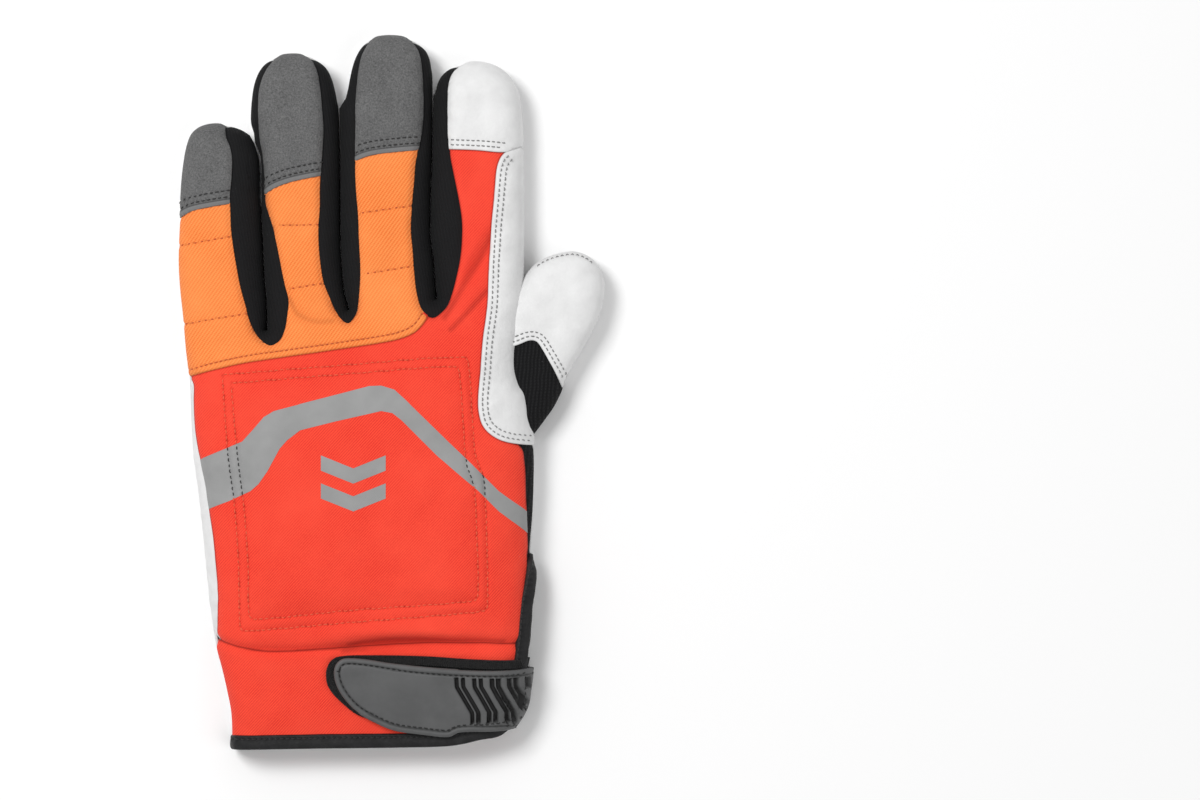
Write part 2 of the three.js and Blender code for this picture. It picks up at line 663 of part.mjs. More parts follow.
// Seam gaps of the back, and the slit and its tape, taken out of the one-piece skin
const tapeRoom = bindingForm(GAP);
const backLevel = SEAM_HEIGHT + GAP / 2;
const palmLevel = SEAM_HEIGHT - GAP / 2;
const seamBlades = joined([
  ...knitStrips.map((strip) => blade(strip.line)),
  ...Object.values(capLines).map((line) => blade(line)),
  blade(knuckleLine),
  blade(outerLine),
  blade(cuffLine),
  blade(sideTopLine),
  blade(sidePanelLine),
  blade(wristLine),
  blade(wristEndLine),
]);
const openShell = shell.subtract(slitCutter()).subtract(tapeRoom);
const backZone = [
  ...outerLine,
  [-farSide, outerLine[outerLine.length - 1][1]],
  [-farSide, -HAND_LENGTH],
  [farSide, -HAND_LENGTH],
  [farSide, fingerEnd],
  [-farSide, fingerEnd],
  [-farSide, outerLine[0][1]],
];
let backRest = openShell.intersect(prism(backZone, backLevel, ABOVE)).subtract(seamBlades);
const palm = openShell.subtract(prism(backZone, palmLevel, ABOVE)).subtract(blade(outerLine));

// Takes one panel out of what is left of the back
function takePanel(outline) {
  const cutter = prism(outline, BELOW, ABOVE);
  const panel = backRest.intersect(cutter);
  backRest = backRest.subtract(cutter);
  return panel;
}

knitStrips.forEach((strip) => {
  const first = strip.line[0];
  const last = strip.line[strip.line.length - 1];
  const outline = [...strip.line, [last[0], fingerEnd], [first[0], fingerEnd]];
  addPiece(strip.name, takePanel(outline), "black_knit");
});

FINGERS.forEach((finger) => {
  const line = capLines[finger.name];
  const edge = finger.name === "index" ? [...line.slice(0, -1), ...sideTopLine] : line;
  const outline = [...edge, [edge[edge.length - 1][0], fingerEnd], [edge[0][0], fingerEnd]];
  const finish = finger.name === "index" ? "goat_leather" : "grey_suede";
  addPiece(`fingertip_${finger.name}`, takePanel(outline), finish);
});

const sideOutline = [...sidePanelLine, ...sideTopLine.slice(1).reverse()];
addPiece("index_side_panel", takePanel(sideOutline), "goat_leather");

const wristOutline = [...wristLine, [farSide, wristEndLine[0][1]], [farSide, wristLine[0][1]]];
addPiece("wrist_gusset", takePanel(wristOutline), "black_knit");

const cuffOutline = [...cuffLine, [farSide, -HAND_LENGTH], [-farSide, -HAND_LENGTH]];
addPiece("cuff_panel", takePanel(cuffOutline), "back_red");

const knuckleEnd = knuckleLine[knuckleLine.length - 1];
const knuckleOutline = [...knuckleLine, [knuckleEnd[0], fingerEnd], [-farSide, fingerEnd]];
addPiece("knuckle_panel", takePanel(knuckleOutline), "knuckle_orange");
addPiece("back_panel", backRest, "back_red");
addPiece("palm_panel", palm, "goat_leather");

// Thumb, trimmed where it lies against the hand, in leather above its seam and knit below it
const thumb = tubeForm(thumbTube, 0).subtract(thumbHollow).subtract(gloveForm(GAP));
const thumbLow = [...thumbLine, [farSide, -HAND_LENGTH], [-farSide, -HAND_LENGTH],
  [-farSide, thumbLine[0][1]]];
const thumbCut = thumb.subtract(blade(thumbLine, BELOW));
addPiece("thumb_shell", thumbCut.subtract(prism(thumbLow, BELOW, ABOVE)), "goat_leather");
addPiece("thumb_gusset", thumbCut.intersect(prism(thumbLow, BELOW, ABOVE)), "black_knit");

// Layer that follows the hand between two offsets from its skin, inside a plan outline
function layer(outline, inner, outer, low) {
  const band = handForm(outer, OVERRUN).subtract(handForm(inner, OVERRUN * 2));
  return band.intersect(prism(outline, low, ABOVE));
}

const padTop = -WALL - GAP;
const padOutline = PAD_OUTLINE.map(handPoint);
const pad = layer(padOutline, padTop - PAD_THICKNESS, padTop, backLevel + WALL);
addPiece("cut_protection_pad", pad, "pad_white");

const stripeOutline = [...STRIPE_UPPER, ...STRIPE_LOWER].map(handPoint);
const stripe = layer(stripeOutline, GAP, GAP + FILM_THICKNESS, backLevel);
addPiece("reflective_stripe", stripe, "reflective_grey");

// One arm pair of the chevron mark, its point towards the cuff
function chevron(x, y, width, bar, rise) {
  const half = width / 2;
  return [[x - half, y + rise * half + bar], [x - half, y + rise * half], [x, y],
    [x + half, y + rise * half],
    [x + half, y + rise * half + bar], [x, y + bar]];
}

[0, 1].forEach((row) => {
  const foot = EMBLEM_Y * HAND_LENGTH + row * EMBLEM_BAR * EMBLEM_PITCH;
  const outline = chevron(EMBLEM_X * PALM_WIDTH, foot, EMBLEM_WIDTH, EMBLEM_BAR, EMBLEM_RISE);
  const mark = layer(outline, GAP, GAP + FILM_THICKNESS, backLevel);
  addPiece(`emblem_chevron_${row + 1}`, mark, "reflective_grey");
});

addPiece("cuff_binding", bindingForm(0), "black_tape");

// Strap: hook backing, and the rubber tab on it with its row of bent ridges
const backingOuter = STRAP_LIFT + BACKING_THICKNESS;
const tabInner = backingOuter + GAP;
const tabOuter = tabInner + TAB_THICKNESS;
const backing = layer(BACKING_OUTLINE.map(handPoint), STRAP_LIFT, backingOuter, STRAP_END_HEIGHT);
addPiece("strap_backing", backing.subtract(tapeRoom), "black_knit");

function ridgeOutline(index) {
  const place = RIDGE_FIRST + index * RIDGE_PITCH;
  const left = RIDGE_LINE.map(([shift, along]) => handPoint([place + shift, along]));
  const right = left.map(([x, y]) => [x + RIDGE_WIDTH, y]).reverse();
  return [...left, ...right];
}

const ridges = Array.from({ length: RIDGE_COUNT }, (_, index) => (
  layer(ridgeOutline(index), tabOuter - GAP, tabOuter + RIDGE_HEIGHT, SEAM_HEIGHT + tabOuter)
));
const tab = layer(TAB_OUTLINE.map(handPoint), tabInner, tabOuter, STRAP_END_HEIGHT);
addPiece("strap_tab", joined([tab.subtract(tapeRoom), ...ridges]), "grey_rubber");

// The origin goes under the middle of the whole glove
group.updateMatrixWorld(true);
const box = new THREE.Box3().setFromObject(group);
const centre = box.getCenter(new THREE.Vector3());
group.position.set(-centre.x, -centre.y, -box.min.z);

export default group;
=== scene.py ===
# Left-hand chainsaw glove lying on its palm: the cloth, leather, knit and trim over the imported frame.
import logging
import math
from dataclasses import dataclass, field
from enum import Enum
from typing import Callable, Sequence

import bpy
import numpy as np
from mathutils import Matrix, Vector
from mathutils.bvhtree import BVHTree
from mathutils.kdtree import KDTree
from mathutils.geometry import delaunay_2d_cdt


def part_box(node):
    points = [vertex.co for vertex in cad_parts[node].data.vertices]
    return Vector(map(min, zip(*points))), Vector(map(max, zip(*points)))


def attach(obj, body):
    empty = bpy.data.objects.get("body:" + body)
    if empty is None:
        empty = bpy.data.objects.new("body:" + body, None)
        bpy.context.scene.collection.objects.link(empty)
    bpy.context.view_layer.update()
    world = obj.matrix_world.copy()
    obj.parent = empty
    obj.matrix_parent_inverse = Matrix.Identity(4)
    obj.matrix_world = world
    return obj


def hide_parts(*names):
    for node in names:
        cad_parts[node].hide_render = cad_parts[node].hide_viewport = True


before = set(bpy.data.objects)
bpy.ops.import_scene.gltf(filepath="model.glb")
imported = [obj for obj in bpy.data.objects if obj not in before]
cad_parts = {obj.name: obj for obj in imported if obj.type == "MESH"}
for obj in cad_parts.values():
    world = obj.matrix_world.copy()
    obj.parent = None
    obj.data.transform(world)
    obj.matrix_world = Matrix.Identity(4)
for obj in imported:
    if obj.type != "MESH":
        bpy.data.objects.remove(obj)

log = logging.getLogger("glove")
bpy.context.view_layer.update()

Array = np.ndarray
Point = tuple[float, float]
Line = Sequence[Point]
Colour = tuple[float, float, float]
Socket = bpy.types.NodeSocket
Material = bpy.types.Material
Finishes = dict[str, Material]
Pair = tuple[Array, Array]

# The photograph's scale, and the glove's left edge and highest fingertip in it, in its pixels
PIXEL_MM = 0.375
PHOTO_LEFT = 183.6
PHOTO_TOP = 37.3
PHOTO_MIDDLE = (600.0, 400.0)
PHOTO_WIDTH = 1200.0

# Outline of the hand and its fingers from above, in pixels of the photograph, from the cuff's outer end
# round the fingertips to the cuff's thumb end. A slit between two fingers is its line there and back.
OUTER_SIDE = ((234, 762), (234, 745), (233, 712), (229, 690), (224, 668), (218, 645), (212, 605),
              (207.5, 560), (204, 525), (200, 490), (195, 452), (193, 420), (192, 390), (191, 370),
              (188.5, 348), (186, 318), (183, 290), (181.5, 265), (182, 240), (183.5, 212), (185, 184),
              (187.5, 162))
LITTLE_TIP = ((190.5, 147), (195, 136), (203, 129.5), (215, 126.5), (230, 127.5), (243, 131.5),
              (251, 136.5))
SLIT_1 = ((256, 144), (261, 160), (262, 200), (264, 240), (266, 280), (268, 304), (268.5, 330))
RING_TIP = ((255.5, 134), (252.8, 124), (252.8, 112), (254, 98), (256, 86), (260.5, 74), (267, 65.5),
            (276, 60), (287, 57.3), (300, 57), (311, 58.8), (320, 63.5), (328, 71), (333.5, 83),
            (336.5, 95))
SLIT_2 = ((340, 110), (341, 150), (341.2, 200), (341.8, 250), (345, 290), (350, 310))
MIDDLE_TIP = ((347, 100), (349.5, 90), (351.3, 80), (354, 68), (358, 57), (364, 47.5), (371, 42),
              (381, 39.3), (393, 38.6), (405, 40), (416, 44), (425, 51), (430.5, 61), (432.5, 74),
              (433, 84))
SLIT_3 = ((433.6, 98), (433, 150), (431.3, 200), (431.4, 238), (434, 260), (436, 284), (437.3, 299))
INDEX_TIP = ((436.5, 93), (439, 84), (443.5, 76.5), (452, 70), (463, 66.8), (478, 65), (492, 67.8),
             (503, 74), (511, 82.5), (516.5, 93), (519.5, 107), (521, 128))
THUMB_SIDE = ((521.5, 150), (522, 200), (522, 250), (521.5, 300), (520, 330), (518.5, 350), (518.5, 370),
              (522, 383), (527.5, 392), (530, 404), (531, 420), (532.5, 438), (534, 455), (534, 476),
              (533, 510), (531, 545), (530, 570), (530, 600), (529, 630), (527, 648), (523.5, 664),
              (522.5, 676), (520.5, 690), (519, 700), (515.5, 708), (511, 715), (506.5, 722), (502, 745))
CUFF_EDGE = ((180, 747), (234, 746), (320, 744.5), (400, 743.5), (450, 742), (473, 738), (488, 733.5),
             (501, 728), (512, 722.5), (540, 712))

# Seams seen on the back, in pixels: each outline runs past the silhouette where it meets it
KNIT_1 = ((227, 112), (228, 130), (229.5, 140), (233, 148), (235.5, 160), (235, 180), (233.5, 198),
          (234, 216), (234.5, 230), (237, 250), (240, 268), (243.5, 286), (249, 306), (254, 324),
          (259, 334), (266, 342), (274, 346), (283, 341.5), (288, 331), (290, 316), (291, 301), (288, 288),
          (285, 274), (282, 260), (279, 246), (275.5, 230), (271, 217), (266.5, 202), (266.5, 180),
          (265, 158), (262, 140), (261, 116), (261.5, 94), (264, 82), (268.5, 72), (275, 63), (282, 50))
KNIT_1_OUTSIDE = ((250, 56), (238, 100), (237, 116))
KNIT_2 = ((303, 46), (308, 57.5), (314, 63), (319, 73), (322, 85), (324, 104), (326, 136), (324.5, 164),
          (323, 188), (323, 208), (321.5, 228), (321.5, 246), (323, 262), (326, 280), (332, 297),
          (340, 314), (350, 324), (357, 316.5), (360, 302), (361.5, 286), (362, 266), (361, 244),
          (360, 220), (357.5, 190), (357, 160), (357.5, 130), (357.5, 100), (359.5, 78), (363, 60),
          (370, 45), (376, 30))
KNIT_2_OUTSIDE = ((352, 36), (342.5, 88), (335, 62), (322, 46))
KNIT_3 = ((405, 28), (413, 43.5), (420, 53), (423.5, 68), (425, 94), (425, 118), (422, 144), (418, 164),
          (416, 186), (414.5, 206), (413, 230), (415, 254), (416.5, 276), (419, 296), (424, 310),
          (434, 317.5), (443, 311.5), (450.5, 299), (456.5, 283), (461, 262), (463, 242), (463, 222),
          (460, 202), (455, 178), (450.5, 156), (449, 130), (449, 100), (450.5, 84), (455, 74), (462, 66.8),
          (466, 52))
KNIT_3_OUTSIDE = ((450, 52), (437, 74), (432, 44), (422, 32))
CAP_SEAM_LITTLE = ((166, 227), (183, 219), (195, 213), (213, 209), (250, 203))
CAP_SEAM_RING = ((252, 202), (267, 196), (280, 189), (298, 183), (340, 175))
CAP_SEAM_MIDDLE = ((344, 169), (358, 163), (372, 158), (392, 155), (436, 151))
CAP_SEAM_INDEX = ((436, 151), (451, 151.5), (478, 152.6), (504, 154.6), (512, 152), (520, 148.5),
                  (545, 145))
SIDE_EDGE = ((516, 150.5), (507, 154), (501.5, 160), (498, 170), (496.3, 186), (494.8, 204), (493, 222),
             (491.6, 244), (490.3, 264), (489.6, 284), (488.8, 304), (487, 320), (484.7, 336), (483, 354),
             (481.8, 372), (480.3, 388), (479.6, 402), (480.4, 413), (483, 423), (488, 430.5), (496, 437),
             (505, 441), (518, 443.5), (550, 446))
KNUCKLE_EDGE = ((150, 386), (191, 377), (222, 369), (250, 363), (285, 358), (320, 353), (354, 348),
                (380, 344), (400, 340), (415, 334), (424, 326), (430, 316), (434, 300))
WRAP_EDGE = ((150, 379), (189, 378.5), (194.5, 384), (194.5, 400), (195.5, 422), (198.5, 443), (203, 464),
             (207, 484), (210, 504), (213.5, 526), (216.5, 546), (218.5, 570), (219.5, 594), (219, 614),
             (218, 632), (216, 648), (150, 650))
GUSSET_EDGE = ((516, 440), (523.5, 448), (526, 462), (527, 478), (528, 502), (528.8, 524), (529.6, 545),
               (530, 559), (550, 561))
CUFF_SEAM = ((180, 634), (219, 639), (244, 645.6), (275, 649), (325, 647), (369, 645), (431, 642.5),
             (494, 642), (550, 641.5))

# Things laid and sewn on the back, in pixels
PAD_OUTER_ROW = ((227, 375), (348, 365.5), (466, 357.5), (470, 365), (474, 420), (477, 455), (485, 478),
                 (487.5, 524), (488.5, 604), (485, 608), (462, 611), (350, 620), (247, 628), (244, 622),
                 (243, 570), (239.5, 510), (232, 449), (227, 379))
PAD_INNER_ROW = ((236, 383.5), (348, 374.5), (457, 367), (461, 373), (465, 425), (468, 462), (475.5, 486),
                 (478, 530), (479, 594), (474, 598.5), (350, 608), (257, 616.5), (253, 610), (252.5, 566),
                 (249, 512), (241.5, 449), (236, 388))
STRIPE = ((196, 462), (247, 441), (257, 430), (268, 417), (278, 411), (320, 400), (372, 386.5), (384, 386),
          (397, 390), (408, 400), (450, 441), (470, 460), (500, 490), (515, 501), (540, 519), (541, 541),
          (513, 520), (500, 510), (480, 490), (439, 455), (404, 420), (395, 413), (384, 411), (340, 421),
          (304, 430), (291, 440), (284, 448), (272, 470), (263, 483), (255, 490), (233, 500), (196, 514))
STRAP_TAB = ((337, 668), (340, 660), (347, 655.5), (366, 656), (396.5, 660.5), (442.5, 665), (488, 667),
             (519, 666), (545, 662), (545, 716), (519, 721), (496, 726), (461, 727.5), (450, 732),
             (427, 730), (396.5, 725.5), (374, 716), (358, 706), (346, 693), (339, 680))
STRAP_BACKING = ((329, 670), (333, 659), (341, 654), (366, 652.5), (427, 653.5), (473, 656.5), (514, 657.5),
                 (545, 655), (545, 716), (519, 719), (470, 720), (400, 720), (362, 712), (340, 695),
                 (331, 683))
GROOVE_START = (458.1, 675.5)
GROOVE_LINE = ((0, 0), (0.4, 7.4), (15.6, 33.4), (15.8, 42))
GROOVE_STEP = (17.6, 0)
GROOVE_TWIN = (6.4, 0)
GROOVES = 5
WALL_SHARES = (0.85, 1.15)

# The middle of the tape along the slit's upper edge, in pixels
SLIT_TAPE = ((532, 561), (532, 572), (530.2, 586), (527.3, 601), (525.6, 617), (524.6, 632), (523, 646),
             (521.6, 658), (520.5, 680), (519, 698), (514.5, 711), (507.5, 720.5), (499, 727), (488, 731),
             (484, 745))

# The thumb's outline and seam, in pixels
THUMB_OUTLINE = ((500, 318), (508, 303), (519, 287), (527, 274), (536, 264), (549, 257), (563, 253),
                 (574, 252), (584, 254.5), (594, 261), (601, 271.5), (604.5, 287), (602.5, 303.5),
                 (597, 322), (584.5, 346), (572, 367), (565, 381), (562.5, 391), (554, 408), (547, 418),
                 (538, 430), (530, 440), (518, 450), (506, 456))
THUMB_ROOT = ((509, 230), (509, 500))
THUMB_SEAM = ((490, 352), (505, 349), (518, 345.5), (530, 341), (537, 342), (543, 350), (549, 360.5),
              (555, 371), (561, 383), (566, 391), (582, 402))

# Layers of the shaded skin, in millimetres
SEAM_HEIGHT = 8.0
FLOOR_CLEARANCE = 0.05
GRID = 0.95
TRIM_GRID = 0.55
UNDER_GRID = 1.7
OUTLINE_STEP = 0.95
SLIT_GAP = 0.5
TOP_ROWS = (0.0, 0.04, 0.16, 0.4, 0.8, 1.35, 2.1, 3.0, 4.0, 5.0)
UNDER_ROWS = (0.0, 0.04, 0.2, 0.55, 1.1, 1.9, 3.0, 4.4, 6.2)
SEAM_ROWS = (-2.5, -1.6, -0.9, -0.4, 0.4, 0.9, 1.6, 2.5)
MM = 0.001
GRID_ROW = 0.866
RIM_CLEAR = 0.4
SEAM_CLEAR = 2.9
BESIDE_CLEAR = 0.3
DETAIL_CLEAR = 0.22
UNDER_CLEAR = 0.5
CUT_PRECISION = 1e-4
WELD_SIZE = 4e-3
WAVES = 9
ROW_REACH = 3.0
RIM_STEP = 1e-4
RIM_BAND = 2e-3
SLOPE_STEP = 0.05
FAR_EDGE = 5.0
SAME_PLACE = 0.02


class Edge(Enum):
    """How a panel's own edge is finished against the panels below it."""

    TURNED = "turned"
    LAPPED = "lapped"


class Side(Enum):
    """Which side of the glove a piece of skin is on."""

    BACK = "back"
    PALM = "palm"


def place(points: Line) -> Array:
    """Turn photo pixels into millimetres in the frame's plan.

    Args:
        points: The pixels.

    Returns:
        The plan points.
    """
    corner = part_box("palm_panel")
    left = corner[0][0] / MM
    top = corner[1][1] / MM
    pixels = np.array(points, dtype=float).reshape(-1, 2)
    return np.column_stack([left + (pixels[:, 0] - PHOTO_LEFT) * PIXEL_MM,
                            top - (pixels[:, 1] - PHOTO_TOP) * PIXEL_MM])


def blend_step(low: float, high: float, value: Array) -> Array:
    """Smooth step from 0 at low to 1 at high."""
    share = np.clip((value - low) / (high - low), 0, 1)
    return share * share * (3 - 2 * share)


def bump_at(distance: Array, width: float) -> Array:
    """Bell shape of height 1 over a distance."""
    return np.exp(-((distance / width) ** 2))


def resample(points: Array, step: float) -> Array:
    """Lay even points along a broken line, with its two ends kept.

    Args:
        points: Points of the line.
        step: Their new distance, about.

    Returns:
        The even points.
    """
    spans = np.linalg.norm(np.diff(points, axis=0), axis=1)
    along = np.concatenate([[0], np.cumsum(spans)])
    count = max(int(round(along[-1] / step)), 2)
    places = np.linspace(0, along[-1], count + 1)
    return np.column_stack([np.interp(places, along, points[:, axis]) for axis in range(points.shape[1])])


def smooth_line(points: Array, step: float = 0.9, closed: bool = False) -> Array:
    """Smooth curve through points, as even short steps.

    Args:
        points: The points that the curve passes through.
        step: Length of a step along the curve.
        closed: Whether the curve comes back to its first point.

    Returns:
        The points of the curve.
    """
    if closed:
        ring = np.vstack([points[-1:], points, points[:2]])
    else:
        ring = np.vstack([2 * points[:1] - points[1:2], points, 2 * points[-1:] - points[-2:-1]])
    pieces = []
    shares = np.linspace(0, 1, 13)[:-1, None]
    for before, start, end, after in zip(ring[:-3], ring[1:-2], ring[2:-1], ring[3:]):
        run = np.linalg.norm(end - start) + 1e-9
        run_in = np.linalg.norm(start - before) + 1e-9
        run_out = np.linalg.norm(after - end) + 1e-9
        slope_start = (end - before) * run / (run + run_in)
        slope_end = (after - start) * run / (run + run_out)
        square = shares ** 2
        cube = shares ** 3
        pieces.append((2 * cube - 3 * square + 1) * start + (cube - 2 * square + shares) * slope_start
                      + (3 * square - 2 * cube) * end + (cube - square) * slope_end)
    pieces.append(ring[-2:-1])
    return resample(np.vstack(pieces), step)


def offset_line(line: Array, distance: float) -> Array:
    """Move a line sideways.

    Args:
        line: Points of the line.
        distance: How far to the left of its run, or to the right where it is negative.

    Returns:
        Points of the moved line.
    """
    run = np.gradient(line, axis=0)
    run /= np.hypot(run[:, 0], run[:, 1])[:, None] + 1e-12
    return line + distance * np.column_stack([-run[:, 1], run[:, 0]])


@dataclass
class Nearness:
    """How near many points are to a line: distance, length along it, direction and way off it."""

    distance: Array
    along: Array
    run: Array
    away: Array


def near(points: Array, line: Array, reach: float = 1e9) -> Nearness:
    """Distance of points to a broken line.

    Args:
        points: Plan points.
        line: Points of the line.
        reach: Points farther than this keep the reach as their distance.

    Returns:
        Distance, length along the line, direction of the line and the step off it for each point.
    """
    distance = np.full(len(points), float(min(reach, 1e6)))
    along = np.zeros(len(points))
    run = np.zeros((len(points), 2))
    off = np.zeros((len(points), 2))
    low = line.min(axis=0) - reach
    high = line.max(axis=0) + reach
    chosen = np.nonzero(np.all((points >= low) & (points <= high), axis=1))[0]
    start = line[:-1]
    span = np.diff(line, axis=0)
    length = np.hypot(span[:, 0], span[:, 1]) + 1e-12
    reached = np.concatenate([[0], np.cumsum(length)])[:-1]
    for part in np.array_split(chosen, max(1, len(chosen) * len(span) // 2_000_000)):
        offset = points[part, None, :] - start[None]
        share = np.clip((offset * span).sum(axis=2) / length ** 2, 0, 1)
        away = offset - share[..., None] * span
        size = np.hypot(away[..., 0], away[..., 1])
        best = size.argmin(axis=1)
        rows = np.arange(len(part))
        distance[part] = np.minimum(distance[part], size[rows, best])
        along[part] = reached[best] + share[rows, best] * length[best]
        run[part] = span[best] / length[best, None]
        off[part] = away[rows, best]
    return Nearness(distance, along, run, off)


def clear_of(points: Array, lines: Sequence[Array], gap: float) -> Array:
    """Keep the points that are clear of some lines.

    Args:
        points: Plan points.
        lines: The lines.
        gap: The least distance to every line.

    Returns:
        The points that stay.
    """
    for line in lines:
        points = points[near(points, line, gap + 1).distance > gap]
    return points


def inside(points: Array, outline: Array) -> Array:
    """Tell which plan points lie inside a closed outline.

    Args:
        points: Plan points.
        outline: Points of the outline, in order.

    Returns:
        True for each point that lies inside.
    """
    result = np.zeros(len(points), dtype=bool)
    chosen = np.nonzero(np.all((points >= outline.min(axis=0)) & (points <= outline.max(axis=0)), axis=1))[0]
    start = outline
    end = np.roll(outline, -1, axis=0)
    slope = (end[:, 0] - start[:, 0]) / np.where(end[:, 1] == start[:, 1], 1e-12, end[:, 1] - start[:, 1])
    for part in np.array_split(chosen, max(1, len(chosen) * len(start) // 4_000_000)):
        y = points[part, 1][:, None]
        crosses = (start[:, 1] > y) != (end[:, 1] > y)
        left = points[part, 0][:, None] < start[:, 0] + (y - start[:, 1]) * slope
        result[part] = (crosses & left).sum(axis=1) % 2 == 1
    return result


def ripples(points: Array, length: float, seed: int) -> Array:
    """Soft irregular waves about 1 high.

    Args:
        points: Plan points.
        length: Usual length of a wave in millimetres.
        seed: Seed of the waves' directions, phases and lengths.

    Returns:
        Height of the waves at each point.
    """
    random = np.random.default_rng(seed)
    total = np.zeros(len(points))
    for angle, phase, factor in zip(random.uniform(0, math.pi, WAVES), random.uniform(0, 6.28, WAVES),
                                    random.uniform(0.6, 1.6, WAVES)):
        direction = np.array([math.cos(angle), math.sin(angle)])
        wave = points @ direction * 2 * math.pi / (length * factor)
        bend = np.sin(points @ direction[::-1] * 2 * math.pi / (length * 2.3) + phase * 2)
        total += np.sin(wave + phase + 1.4 * bend)
    return total / 4.2


@dataclass
class Fold:
    """A crease or a soft ridge in the cloth, along a line given in pixels."""

    line: Line
    width: float
    height: float

    def lift(self, points: Array) -> Array:
        """Find the height that the fold adds, fading at its ends.

        Args:
            points: Plan points.

        Returns:
            The height at each point.
        """
        path = smooth_line(place(self.line), 1.0)
        found = near(points, path, self.width * 3)
        total = float(np.hypot(*np.diff(path, axis=0).T).sum())
        fade = np.sin(np.pi * np.clip(found.along / total, 0.02, 0.98)) ** 0.6
        return self.height * bump_at(found.distance, self.width) * fade


@dataclass
class StitchRow:
    """One row of stitches: its line, the piece that it is sewn on, its thread and how deep it pulls."""

    name: str
    line: Array
    piece: str
    thread: str
    pitch: float = 1.9
    depth: float = 0.3
    length_share: float = 0.66
    width: float = 0.62

    def groove(self, points: Array) -> Array:
        """Find the depth of the cloth under the row, deepest where the thread goes in.

        Args:
            points: Plan points.

        Returns:
            The depth at each point, below 0.
        """
        found = near(points, self.line, ROW_REACH)
        pull = 0.72 + 0.28 * np.cos(2 * np.pi * found.along / self.pitch)
        return -self.depth * bump_at(found.distance, self.width) * pull

    def needle_hole_shade(self, points: Array) -> Array:
        """Distance to the row that falls to nothing where the thread goes in, for painted shade in the needle
        holes.
        """
        found = near(points, self.line, ROW_REACH)
        return found.distance * 0.85 + 0.3 * (1 - np.cos(2 * np.pi * found.along / self.pitch))


@dataclass
class Skin:
    """Triangles of one side of a form: plan points, heights, directions and distance to the outline."""

    plan: Array
    height: Array
    normal: Array
    rim: Array
    faces: Array

    def centres(self) -> Array:
        """Middle of each triangle in plan."""
        return self.plan[self.faces].mean(axis=1)

    def layer(self, lift: Array | float, wall: float) -> Array:
        """Points of the outside and the inside, side by side, of a layer lifted off the skin."""
        base = np.column_stack([self.plan, self.height])
        return np.hstack([base + self.normal * np.reshape(lift - step, (-1, 1)) for step in (0, wall)])


